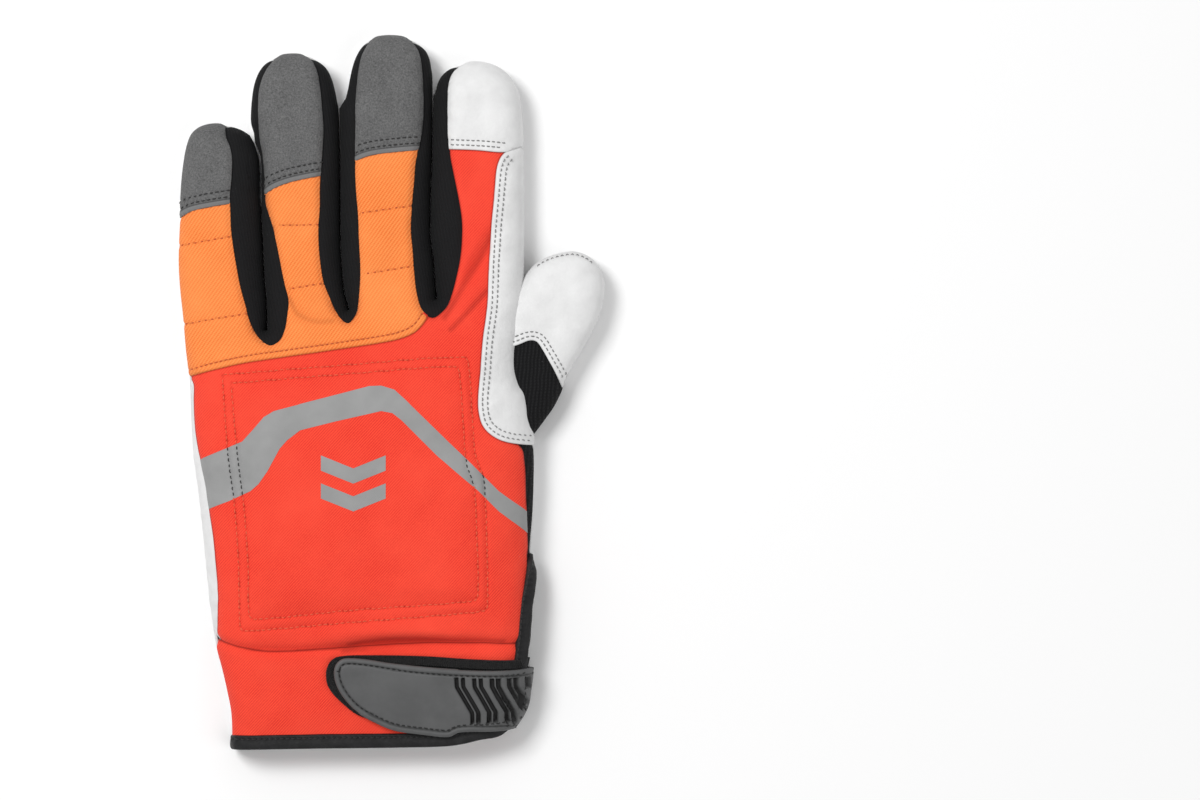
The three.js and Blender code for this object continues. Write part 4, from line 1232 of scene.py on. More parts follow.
@dataclass(frozen=True)
class Knit:
    """Black knit with fine wales, lint and a dull sheen."""

    name: str
    wale: float
    depth: float
    colour: Colour = (0.0065, 0.0065, 0.007)
    raised: Colour = (0.022, 0.022, 0.023)
    lint: Colour = (0.13, 0.13, 0.14)

    def material(self) -> Material:
        """Build the knit's material.

        Returns:
            The material.
        """
        nodes = Nodes(self.name)
        wales = nodes.ribs(self.wale, 0.08, 2.2)
        loops = nodes.ribs(self.wale * 0.8, 1.5, 1.6)
        fluff = nodes.noise(3000, 4, 0.8)
        soft = nodes.noise(140, 3, 0.6)
        knit = nodes.times(wales, nodes.spread(loops, 0.45, 0.55))
        tone = nodes.blend(knit, 0.5, fluff)
        colour = nodes.mix(nodes.ramp(tone, 0.25, 0.8), self.colour, self.raised)
        colour = nodes.mix(nodes.times(soft, 0.3), colour, self.raised)
        specks = nodes.times(nodes.ramp(nodes.noise(1300, 1, 0.5), 0.80, 0.83), 0.5)
        colour = nodes.mix(specks, colour, self.lint)
        normal = nodes.bump(knit, self.depth, nodes.bump(fluff, self.depth * 0.9))
        return nodes.finish(colour, 0.92, normal, Sheen_Weight=0.03, Sheen_Roughness=0.35,
                            Specular_IOR_Level=0.1)


@dataclass(frozen=True)
class Tape:
    """Black grained edge tape."""

    name: str = "edge tape"
    colour: Colour = (0.010, 0.010, 0.0105)
    worn: Colour = (0.021, 0.021, 0.022)

    def material(self) -> Material:
        """Build the tape's material.

        Returns:
            The material.
        """
        nodes = Nodes(self.name)
        grain = nodes.cells(0.00055)
        wear = nodes.noise(240, 4, 0.65)
        colour = nodes.mix(nodes.ramp(wear, 0.42, 0.72), self.colour, self.worn)
        normal = nodes.bump(grain, 0.00009, nodes.bump(wear, 0.0002))
        return nodes.finish(colour, nodes.spread(wear, 0.5, 0.2), normal, Specular_IOR_Level=0.25)


@dataclass(frozen=True)
class MouldedRubber:
    """Moulded grey rubber with a fine spark texture and painted shade in its ridge gaps and sewn groove."""

    name: str = "moulded rubber"
    colour: Colour = (0.078, 0.079, 0.080)
    pale: Colour = (0.098, 0.099, 0.100)
    # Colour of the painted shade in the ridge gaps and the sewn groove
    deep: Colour = (0.002, 0.002, 0.002)

    def material(self) -> Material:
        """Build the rubber's material.

        Returns:
            The material.
        """
        nodes = Nodes(self.name)
        texture = nodes.noise(3800, 3, 0.7)
        wear = nodes.noise(90, 4, 0.6)
        colour = nodes.mix(nodes.ramp(wear, 0.35, 0.7), self.colour, self.pale)
        # Painted shade: black in the ridge gaps, darker in the sewn groove
        depth = nodes.ramp(nodes.attribute("edge"), 0.0, 0.3)
        colour = nodes.mix(depth, self.deep, colour)
        return nodes.finish(colour, nodes.spread(wear, 0.48, 0.16), nodes.bump(texture, 0.00005),
                            Specular_IOR_Level=0.38)


@dataclass(frozen=True)
class Film:
    """Reflective heat-pressed film: grey, with tiny beads and faint creases."""

    name: str = "reflective film"
    colour: Colour = (0.262, 0.263, 0.262)
    pale: Colour = (0.305, 0.306, 0.305)

    def material(self) -> Material:
        """Build the film's material.

        Returns:
            The material.
        """
        nodes = Nodes(self.name)
        beads = nodes.cells(0.00022)
        weave = nodes.ribs(0.00062, 0.7, 0.6)
        cloudy = nodes.noise(70, 3, 0.55)
        colour = nodes.mix(nodes.ramp(cloudy, 0.35, 0.7), self.colour, self.pale)
        normal = nodes.bump(beads, 0.00002, nodes.bump(weave, 0.00002))
        return nodes.finish(colour, nodes.spread(cloudy, 0.46, 0.12), normal, Specular_IOR_Level=0.35)


@dataclass(frozen=True)
class Thread:
    """Twisted sewing thread."""

    name: str
    colour: Colour
    dark: Colour

    def material(self) -> Material:
        """Build the thread's material.

        Returns:
            The material.
        """
        nodes = Nodes(self.name)
        twist = nodes.ribs(0.00028, 0.6, 0.5)
        fibres = nodes.noise(2500, 2, 0.6)
        colour = nodes.mix(nodes.times(twist, fibres), self.dark, self.colour)
        return nodes.finish(colour, 0.62, nodes.bump(twist, 0.00006), Sheen_Weight=0.1)


@dataclass(frozen=True)
class Fibre:
    """Pale layered protective fibre."""

    name: str = "protective fibre"
    colour: Colour = (0.62, 0.61, 0.55)
    shade: Colour = (0.42, 0.41, 0.36)

    def material(self) -> Material:
        """Build the fibre's material.

        Returns:
            The material.
        """
        nodes = Nodes(self.name)
        strands = nodes.noise(900, 4, 0.8)
        colour = nodes.mix(nodes.ramp(strands, 0.35, 0.65), self.shade, self.colour)
        return nodes.finish(colour, 0.95, nodes.bump(strands, 0.0004), Sheen_Weight=0.2)


def build_finishes() -> Finishes:
    """Build every material of the glove.

    Returns:
        The materials by their plain names.
    """
    black = (0.004, 0.004, 0.004)
    finishes = {
        "red": WovenCloth("red cloth", (0.96, 0.082, 0.042), (0.70, 0.03, 0.022), 0.0008, 0.75, 0.00008,
                          0.72),
        "orange": WovenCloth("orange cloth", (0.98, 0.31, 0.085), (0.80, 0.165, 0.032), 0.0011, 0.62, 0.00014,
                             0.5),
        "leather": GoatLeather(),
        "suede": Suede(),
        "knit": Knit("black knit", 0.00055, 0.00014),
        "terry": Knit("black rib knit", 0.0014, 0.00035),
        "hook": Knit("hook backing", 0.0009, 0.0005, black, (0.02, 0.02, 0.02)),
        "tape": Tape(),
        "rubber": MouldedRubber(),
        "film": Film(),
        "fibre": Fibre(),
        "dark_thread": Thread("dark thread", (0.035, 0.035, 0.036), (0.008, 0.008, 0.008)),
        "grey_thread": Thread("grey thread", (0.42, 0.42, 0.42), (0.16, 0.16, 0.16)),
        "rust_thread": Thread("rust thread", (0.80, 0.17, 0.035), (0.5, 0.08, 0.015)),
        "red_thread": Thread("red thread", (1.0, 0.22, 0.09), (0.8, 0.09, 0.04)),
        "black_thread": Thread("black thread", (0.006, 0.006, 0.006), (0.002, 0.002, 0.002)),
    }
    return {name: finish.material() for name, finish in finishes.items()}


SLOTS = {"red": "red_cloth", "orange": "orange_cloth", "leather": "pale_leather", "suede": "grey_suede",
         "knit": "black_knit", "terry": "black_knit", "hook": "black_hook", "tape": "black_tape",
         "rubber": "grey_rubber", "film": "reflective_film", "fibre": "pad_fibre",
         "dark_thread": "grey_suede", "grey_thread": "pale_leather", "rust_thread": "orange_cloth",
         "red_thread": "red_cloth", "black_thread": "black_tape"}

# What the wrist's slit takes from the palm, in pixels: its box, and the far side of the cut corner
SLIT_BOX = ((500, 724), (560, 567))
SLIT_CORNER = ((700, 745), (700, 698))


@dataclass
class Hand:
    """The hand and fingers: back panels, palm, films, inner pad and wrist strap, cut from one skin."""

    finishes: Finishes
    tuck: float = 2.0
    tuck_drop: float = 0.3
    film_lift: float = 0.1
    film_wall: float = 0.12
    film_edge: float = 5.0
    pad_drop: float = 2.3
    pad_wall: float = 2.4
    pad_inset: float = 4
    backing_lift: float = 1.9
    backing_wall: float = 1.1
    tab_lift: float = 4.1
    tab_wall: float = 2.1
    tab_rim: float = 1.6
    tab_groove: float = 0.45
    ridge_gap: float = 0.74
    ridge_depth: float = 1.9
    side_turn: float = 0.6
    slit_reach: float = 0.35
    lap_width: float = 0.55
    lap_dent: float = 0.22
    lap_dent_width: float = 0.9
    tuck_margin: float = 1.5
    seam_range: float = 7.0
    grain_height: float = 0.17
    grain_length: float = 5.5
    grain_seed: int = 17
    fold_shade: Point = (0.22, 0.5)
    deep_fold: float = 0.6
    palm_wave: float = 0.3
    palm_wave_length: float = 26
    palm_wave_seed: int = 21
    palm_wrinkle: float = 0.35
    palm_wrinkle_length: float = 11
    palm_wrinkle_seed: int = 5
    palm_calm: Point = (0.5, 6)
    pad_relief: float = 0.4
    strap_relief: float = 0.35
    backing_edge: float = 6.0
    backing_round: float = 0.3
    backing_round_width: float = 0.5
    fuzz: float = 0.16
    fuzz_length: float = 1.7
    fuzz_seed: int = 4
    fuzz_width: float = 1.6
    hook_pitch: float = 0.62
    hook_pitch_step: float = 0.05
    hook_length: float = 1.15
    hook_rows: int = 8
    hook_start: float = 0.25
    hook_step: float = 0.42
    tab_edge: float = 8.0
    tab_round: float = 0.5
    tab_dent: float = 0.55
    emblem_middle: Point = (356.5, 510.0)
    emblem_half: float = 32.0
    emblem_bar: float = 15.0
    emblem_rise: float = 12.8
    emblem_pitch: float = 27.5
    surfaces: dict[str, BVHTree] = field(default_factory=dict)

    def __post_init__(self) -> None:
        """Cut the two sides of the skin and measure them against every panel."""
        end = smooth_line(place(CUFF_EDGE), 0.9)
        beyond = place(((700, 700), (700, -60), (60, -60), (60, 747)))
        self.form = Form(hand_outline(), np.vstack([end, beyond]), hand_rise, hand_reach)
        self.panels = glove_panels()
        self.rows = stitch_rows()
        self.tab = smooth_line(place(STRAP_TAB), 0.6, closed=True)
        self.backing = smooth_line(place(STRAP_BACKING), 0.6, closed=True)
        self.stripe = np.vstack([resample(place(STRIPE[i:i + 2]), 0.9) for i in range(len(STRIPE) - 1)])
        self.emblem = [place(self.chevron(row)) for row in range(2)]
        self.ring = np.vstack([self.tab, self.tab[:1]])
        self.grooves = [line for line in map(self.seated, self.ridge_gaps()) if len(line) > 2]
        self.slit_tape = smooth_line(place(SLIT_TAPE), 0.8)
        inward = -1 if inside(offset_line(self.ring, -1)[:1], self.tab)[0] else 1
        self.tab_row = offset_line(self.ring, inward * (self.tab_rim + self.tab_groove))
        walls = [offset_line(line, side * share * self.ridge_gap) for line in self.grooves for side in (-1, 1)
                 for share in WALL_SHARES]
        walls += [offset_line(self.ring, inward * (self.tab_rim + step))
                  for step in (-self.tab_rim * 0.75, 0, self.tab_groove * 0.6, self.tab_groove * 1.4,
                               self.tab_groove * 2)]
        seams = [panel.outline for panel in self.panels[:-1]]
        cuts = [*seams, self.tab, self.backing, self.stripe, *self.emblem]
        self.skin = self.form.skin(Side.BACK, cuts, GRID, [self.backing], [*walls, self.slit_tape])
        self.under = self.form.skin(Side.PALM, [self.tab, self.backing], UNDER_GRID)
        plan = self.skin.plan
        centres = self.skin.centres()
        self.near_panel = [near(plan, np.vstack([panel.outline, panel.outline[:1]]), self.seam_range).distance
                           for panel in self.panels]
        self.in_panel = [inside(plan, panel.outline) for panel in self.panels]
        holds = np.array([inside(centres, panel.outline) for panel in self.panels])
        self.label = holds.argmax(axis=0)
        holds[self.label, np.arange(len(centres))] = False
        self.below = holds.argmax(axis=0)
        self.relief = Relief().lift(plan) * blend_step(0, 4, self.skin.rim)
        cut_away = np.vstack([self.slit_tape, place(((700, 745), (700, 561)))])
        self.clear = ~inside(centres, cut_away)

    def chevron(self, row: int) -> Line:
        """Draw one plain chevron of the mark.

        Args:
            row: Its number from the lower one up.

        Returns:
            Its outline, in pixels.
        """
        x, foot = self.emblem_middle
        y = foot - row * self.emblem_pitch
        half, bar, rise = self.emblem_half, self.emblem_bar, self.emblem_rise
        return ((x - half, y - rise - bar), (x - half, y - rise), (x, y), (x + half, y - rise),
                (x + half, y - rise - bar), (x, y - bar), (x - half, y - rise - bar))

    def ridge_gaps(self) -> list[Line]:
        """Draw the gaps between the tab's ridges.

        Returns:
            The gaps' lines, in pixels.
        """
        starts = [(GROOVE_START[0] + number * GROOVE_STEP[0] + twin * GROOVE_TWIN[0], GROOVE_START[1])
                  for number in range(GROOVES) for twin in range(2)]
        return [tuple((left + x, top + y) for x, y in GROOVE_LINE) for left, top in starts]

    def seated(self, pixels: Line) -> Array:
        """Find where a line seen on the tab's raised face lies on the form.

        Args:
            pixels: The line as it is seen from above.

        Returns:
            Plan points of the line, without those past the round side.
        """
        line = resample(place(pixels), 0.6)
        rim = near(line, self.form.outline)
        sign = np.where(inside(line, self.form.outline), 1, -1)
        inward = rim.away / rim.distance[:, None] * sign[:, None]
        depth = np.linspace(0, 2 * self.form.reach(line[:1])[0], 200)
        height = self.form.height(np.tile(line[:1], (len(depth), 1)), depth, Side.BACK)
        slope = np.gradient(height, depth)
        seen = depth - self.tab_lift * slope / np.hypot(1, slope)
        found = np.interp(rim.distance * sign, seen, depth)
        return (line + inward * (found - rim.distance * sign)[:, None])[found > self.ridge_gap]

    def clear_of_slit(self) -> Array:
        """Tell which triangles of the palm stay when the wrist's slit is cut out of the thumb side.

        Returns:
            True for each triangle that stays.
        """
        centres = self.under.centres()
        low, high = place(SLIT_BOX)
        beside = np.all((centres > low) & (centres < high), axis=1)
        beside &= self.under.rim[self.under.faces].mean(axis=1) < self.slit_reach
        corner = np.vstack([place(SLIT_TAPE[-6:]), place(SLIT_CORNER)])
        return ~(beside | inside(centres, corner))

    def panel_lift(self, number: int) -> Array:
        """Find how far one panel stands off the form.

        Args:
            number: The panel's place in the list of panels.

        Returns:
            Its lift at every vertex of the back's skin.
        """
        panel = self.panels[number]
        lift = panel.lift + self.relief
        own = self.near_panel[number]
        if panel.edge is Edge.LAPPED:
            lift = lift - panel.round_edge * bump_at(own, self.lap_width)
        elif number < len(self.panels) - 1:
            lift = lift - panel.crease * bump_at(own, panel.crease_width)
        for upper, distance, within in zip(self.panels[:number], self.near_panel, self.in_panel):
            if upper.edge is Edge.TURNED:
                lift = lift - upper.crease * bump_at(distance, upper.crease_width)
            else:
                lift = lift - self.lap_dent * bump_at(distance, self.lap_dent_width)
                under = within & (distance < self.tuck + self.tuck_margin)
                lift = np.where(under, self.relief - self.tuck_drop, lift)
        for row in self.rows:
            if row.piece == panel.name:
                lift = lift + row.groove(self.skin.plan)
        if panel.finish == "leather":
            grain = ripples(self.skin.plan, self.grain_length, self.grain_seed)
            lift = lift + self.grain_height * grain * bump_at(own - 3, 3)
        return lift

    def panel_edge(self, number: int) -> Array:
        """Find how far the panel's finish is from its seams, deep folds and needle holes, from which the
        cloth and leather paint shade and the suede its hem.

        Args:
            number: The panel's place in the list of panels.

        Returns:
            The distance at every vertex of the back's skin.
        """
        turned = self.panels[number].edge is Edge.TURNED
        edge = np.min(self.near_panel[:number + 1] if turned else self.near_panel[number:number + 1], axis=0)
        if self.panels[number].finish in ("suede", "leather"):
            return edge
        # Painted shade along deep creases: the value is held low near them
        least, slope = self.fold_shade
        for fold in FOLDS:
            if fold.height <= -self.deep_fold:
                distance = near(self.skin.plan, smooth_line(place(fold.line), 1.0), fold.width).distance
                edge = np.minimum(edge, least + slope * distance / fold.width)
        for row in self.rows:
            if row.piece == self.panels[number].name:
                edge = np.minimum(edge, row.needle_hole_shade(self.skin.plan))
        return edge

    def panel_faces(self, number: int) -> Array:
        """Choose the triangles of a panel, with what it tucks under a lapped neighbour.

        Args:
            number: The panel's place in the list of panels.

        Returns:
            The triangles.
        """
        lapped = np.array([panel.edge is Edge.LAPPED for panel in self.panels])[self.label]
        distance = np.array(self.near_panel)[:, self.skin.faces].mean(axis=2)
        reach = distance[self.label, np.arange(len(self.label))]
        tucked = lapped & (self.below == number) & (reach < self.tuck)
        return self.skin.faces[((self.label == number) | tucked) & self.clear]

    def build_panels(self) -> None:
        """Make every panel of the back."""
        for number, panel in enumerate(self.panels):
            if panel.name != "outer_wrap":
                both = self.skin.layer(self.panel_lift(number), panel.wall)
                faces = self.panel_faces(number)
                self.surfaces[panel.name] = surface_of(both[:, :3], faces)
                make_piece(panel.name, both, faces, self.finishes, panel.finish, self.panel_edge(number))

    def build_palm(self) -> None:
        """Make the palm's leather, with the strip that wraps over the outer side."""
        number = [panel.name for panel in self.panels].index("outer_wrap")
        wall = self.panels[number].wall
        wrap = self.skin.layer(self.panel_lift(number), wall)
        plan = self.under.plan
        waves = 0.5 + 0.5 * ripples(plan, self.palm_wave_length, self.palm_wave_seed)
        wrinkles = np.clip(ripples(plan, self.palm_wrinkle_length, self.palm_wrinkle_seed), 0, 1) ** 2
        lift = -(self.palm_wave * waves + self.palm_wrinkle * wrinkles)
        low = self.under.layer(lift * blend_step(*self.palm_calm, self.under.rim), wall)
        both, faces = weld([(wrap, self.panel_faces(number)), (low, self.under.faces[self.clear_of_slit()])])
        make_piece("palm_panel", both, faces, self.finishes, "leather", np.full(len(both), FAR_EDGE))

    def build_films(self) -> None:
        """Make the reflective stripe and the plain chevron mark."""
        last = len(self.panels) - 1
        both = self.skin.layer(self.panel_lift(last) + self.film_lift, self.film_wall)
        on_back = (self.label == last) & self.clear
        names = ["reflective_stripe", "emblem_chevron_1", "emblem_chevron_2"]
        for name, outline in zip(names, [self.stripe, *self.emblem]):
            faces = self.skin.faces[inside(self.skin.centres(), outline) & on_back]
            edge = near(self.skin.plan, outline, self.film_edge).distance
            make_piece(name, both, faces, self.finishes, "film", edge, crisp=True)

    def build_pad(self) -> None:
        """Make the protective pad under the back."""
        outline = smooth_line(place(PAD_OUTER_ROW), 1.0)
        chosen = inside(self.skin.centres(), outline)
        chosen &= self.skin.rim[self.skin.faces].min(axis=1) > self.pad_inset
        both = self.skin.layer(self.relief * self.pad_relief - self.pad_drop, self.pad_wall)
        piece = make_piece("cut_protection_pad", both, self.skin.faces[chosen], self.finishes, "fibre")

    def strap_layer(self, outline: Array, lift: Array, level: float, wall: float) -> Pair:
        """Lay one layer of the strap.

        Args:
            outline: The layer's outline.
            lift: How far its face is off the form at every vertex of the back's skin.
            level: How far its face is off the form where it turns down over the thumb side.
            wall: Its thickness.

        Returns:
            Points of its outside and inside, side by side, and the triangles of its outside.
        """
        near_rim = self.under.rim[self.under.faces].max(axis=1) < self.side_turn
        chosen = inside(self.under.centres(), outline) & near_rim
        return weld([(self.skin.layer(lift, wall), self.skin.faces[inside(self.skin.centres(), outline)]),
                     (self.under.layer(level, wall), self.under.faces[chosen])])

    def build_strap(self) -> None:
        """Make the strap's hook backing and its moulded tab."""
        self.build_backing(self.relief * self.strap_relief)
        self.build_tab(self.relief * self.strap_relief)

    def build_backing(self, calm: Array) -> None:
        """Make the hook backing, with a fuzzy edge and its rows of loops.

        Args:
            calm: What the strap takes over of the cloth's relief.
        """
        edge = near(self.skin.plan, self.backing, self.backing_edge).distance
        fuzz = self.fuzz * ripples(self.skin.plan, self.fuzz_length, self.fuzz_seed)
        fuzz *= bump_at(edge, self.fuzz_width)
        lift = calm + self.backing_lift - self.backing_round * bump_at(edge, self.backing_round_width) + fuzz
        both, faces = self.strap_layer(self.backing, lift, self.backing_lift, self.backing_wall)
        self.surfaces["strap_backing"] = surface_of(both[:, :3], faces)
        make_piece("strap_backing", both, faces, self.finishes, "hook")
        line = smooth_line(place(STRAP_BACKING[-4:] + STRAP_BACKING[:-5]), 0.5)
        inward = -1 if inside(offset_line(line, -1)[8:9], self.backing)[0] else 1
        for number in range(self.hook_rows):
            row = offset_line(line, inward * (self.hook_start + self.hook_step * number))
            pitch = self.hook_pitch + self.hook_pitch_step * (number % 3)
            name = f"hooks_{number + 1}"
            self.rows.append(StitchRow(name, row, "strap_backing", "black_thread", pitch, 0.0,
                                       self.hook_length))

    def build_tab(self, calm: Array) -> None:
        """Make the moulded tab, with its rim, sewn groove, ridges and the painted shade of its gaps and
        groove.

        Args:
            calm: What the strap takes over of the cloth's relief.
        """
        plan = self.skin.plan
        edge = near(plan, self.ring, self.tab_edge).distance
        groove = np.abs(edge - self.tab_rim - self.tab_groove)
        lift = calm + self.tab_lift - self.tab_round * (1 - blend_step(0, self.tab_rim * 0.4, edge))
        lift -= self.tab_dent * (1 - blend_step(self.tab_groove * 0.4, self.tab_groove, groove))
        gaps = np.min([near(plan, line, 3.0).distance for line in self.grooves], axis=0)
        face = self.tab_rim + self.tab_groove * 2
        narrow, wide = (share * self.ridge_gap for share in WALL_SHARES)
        gap = (1 - blend_step(narrow, wide, gaps)) * blend_step(face, face + 0.3, edge)
        lift -= self.ridge_depth * gap
        # Painted shade, kept in the tab's edge attribute: full in the ridge gaps, milder in the sewn groove
        shade = np.minimum(0.3 * (1 - gap), 0.12 + 0.4 * groove)
        both, faces = self.strap_layer(self.tab, lift, self.tab_lift, self.tab_wall)
        tree = KDTree(len(plan))
        for index, spot in enumerate(self.skin.layer(lift, 0)[:, :3]):
            tree.insert(spot, index)
        tree.balance()
        tone = np.array([shade[tree.find(Vector(point))[1]] for point in both[:, :3]])
        self.surfaces["strap_tab"] = surface_of(both[:, :3], faces)
        make_piece("strap_tab", both, faces, self.finishes, "rubber", tone)
        row = self.tab_row[self.tab_row[:, 0] < place(((527, 0),))[0, 0]]
        self.rows.append(StitchRow("strap_row", row, "strap_tab", "black_thread", 2.1))


THUMB_FOLDS = (Fold(((548, 300), (556, 318), (552, 340)), 3.0, -0.5),
               Fold(((570, 268), (586, 284), (588, 306)), 4.0, 0.35),
               Fold(((524, 300), (530, 316), (540, 326)), 3.0, -0.4))


@dataclass
class Thumb:
    """The thumb: a leather shell and a rib-knit gusset below its seam."""

    finishes: Finishes
    rise: float = 8.9
    reach: float = 10.5
    floor_reach: float = 6.0
    wall: float = 1.0
    wave: float = 0.22
    under_wave: float = 0.3
    shell_rise: float = 0.55
    seam_round: float = 0.3
    gusset_share: float = 0.8
    gusset_crease: float = 0.25
    gusset_drop: float = 0.2
    tuck: float = 1.8
    tip_inset: float = 1.4
    tip_limit: Point = (536, 268)
    row_insets: Point = (1.5, 3.2)
    wave_length: float = 13
    wave_seed: int = 6
    surfaces: dict[str, BVHTree] = field(default_factory=dict)
    rows: list[StitchRow] = field(default_factory=list)

    def build(self) -> None:
        """Make both pieces of the thumb."""
        outline = smooth_line(place(THUMB_OUTLINE), OUTLINE_STEP)
        end = np.vstack([resample(place(THUMB_ROOT), 1.0), place(((700, 500), (700, 230)))])
        form = Form(outline, end, lambda p: np.full(len(p), self.rise), lambda p: np.full(len(p), self.reach),
                    floor_reach=self.floor_reach)
        seam = smooth_line(place(THUMB_SEAM), 0.8)
        self.lay_rows(outline, seam)
        sides = [self.cut_side(form, seam, side, grid)
                 for side, grid in ((Side.BACK, GRID), (Side.PALM, UNDER_GRID))]
        for number, (name, finish) in enumerate((("thumb_shell", "leather"), ("thumb_gusset", "terry"))):
            both, faces = weld([side[number] for side in sides])
            self.surfaces[name] = surface_of(both[:, :3], faces)
            # Distance to the seam, from which the shell's leather paints shade along it
            edge = near(both[:, :2], seam, 6.0).distance
            make_piece(name, both, faces, self.finishes, finish, edge)

    def lay_rows(self, outline: Array, seam: Array) -> None:
        """Lay two rows of stitches beside the seam and one round the tip.

        Args:
            outline: The thumb's outline.
            seam: The seam between its two pieces.
        """
        for number, distance in enumerate(self.row_insets):
            line = offset_line(seam[6:-12], distance)
            self.rows.append(StitchRow(f"thumb_seam_{number + 1}", line, "thumb_shell", "grey_thread"))
        edge_row = offset_line(outline, -self.tip_inset)
        tip = np.all(edge_row > place((self.tip_limit,)), axis=1)
        self.rows.append(StitchRow("thumb_tip", edge_row[tip], "thumb_shell", "grey_thread", depth=0.2))

    def cut_side(self, form: Form, seam: Array, side: Side, grid: float) -> list[Pair]:
        """Cut one side of the thumb in two.

        Args:
            form: The thumb's form.
            seam: The seam between its two pieces.
            side: The side of the form.
            grid: Spacing of its points.

        Returns:
            For the shell and the gusset, points of the outside and inside, side by side, and triangles.
        """
        skin = form.skin(side, [seam], grid)
        distance = near(skin.plan, seam, 8.0).distance
        calm = blend_step(0, 3, skin.rim)
        waves = self.wave * ripples(skin.plan, self.wave_length, self.wave_seed) * calm
        if side is Side.BACK:
            for fold in THUMB_FOLDS:
                waves += fold.lift(skin.plan) * calm
            shell = waves + self.shell_rise * blend_step(0, 2, skin.rim)
            shell -= self.seam_round * bump_at(distance, 0.5)
            for row in self.rows:
                shell = shell + row.groove(skin.plan)
            gusset = waves * self.gusset_share - self.gusset_crease * bump_at(distance, 0.9)
        else:
            shell = -self.under_wave * np.abs(waves)
            gusset = shell * self.gusset_share
        below = np.vstack([seam, place(((700, 402), (700, 600), (400, 600), (400, 352)))])
        on_gusset = inside(skin.centres(), below)
        tucked = on_gusset | (distance[skin.faces].mean(axis=1) < self.tuck)
        return [(skin.layer(shell, self.wall), skin.faces[~on_gusset]),
                (skin.layer(gusset - self.gusset_drop, self.wall), skin.faces[tucked])]


# The tape's middle over the slit: x and y in pixels, height in millimetres, and how far it leans outwards
TAPE_OVER = ((499, 727, 15.4, 0.5), (508, 721, 15, 0.6), (515, 711, 15.2, 0.45), (519, 698, 15.6, 0.4),
             (520.5, 680, 15.8, 0.4), (521.6, 660, 16, 0.4), (523.2, 645, 16.2, 0.4),
             (524.8, 631, 16.2, 0.4), (525.8, 616, 16, 0.4), (527.5, 601, 15.6, 0.42),
             (530.4, 586, 14.6, 0.5), (532.3, 573, 13.2, 0.6), (532.3, 563, 11.6, 0.8))
# The same below the slit, where the tape follows the round side
TAPE_BELOW = ((531, 560, 8.6), (531, 570, 6.4), (530.5, 586, 5.0), (529.5, 615, 4.6), (528, 638, 4.4),
              (524, 660, 4.2), (522, 680, 4.2), (519, 700, 4.0), (513, 712, 3.4))
TAPE_LEFT = (234, 740.5)
TAPE_FLAT_END = (492, 0)


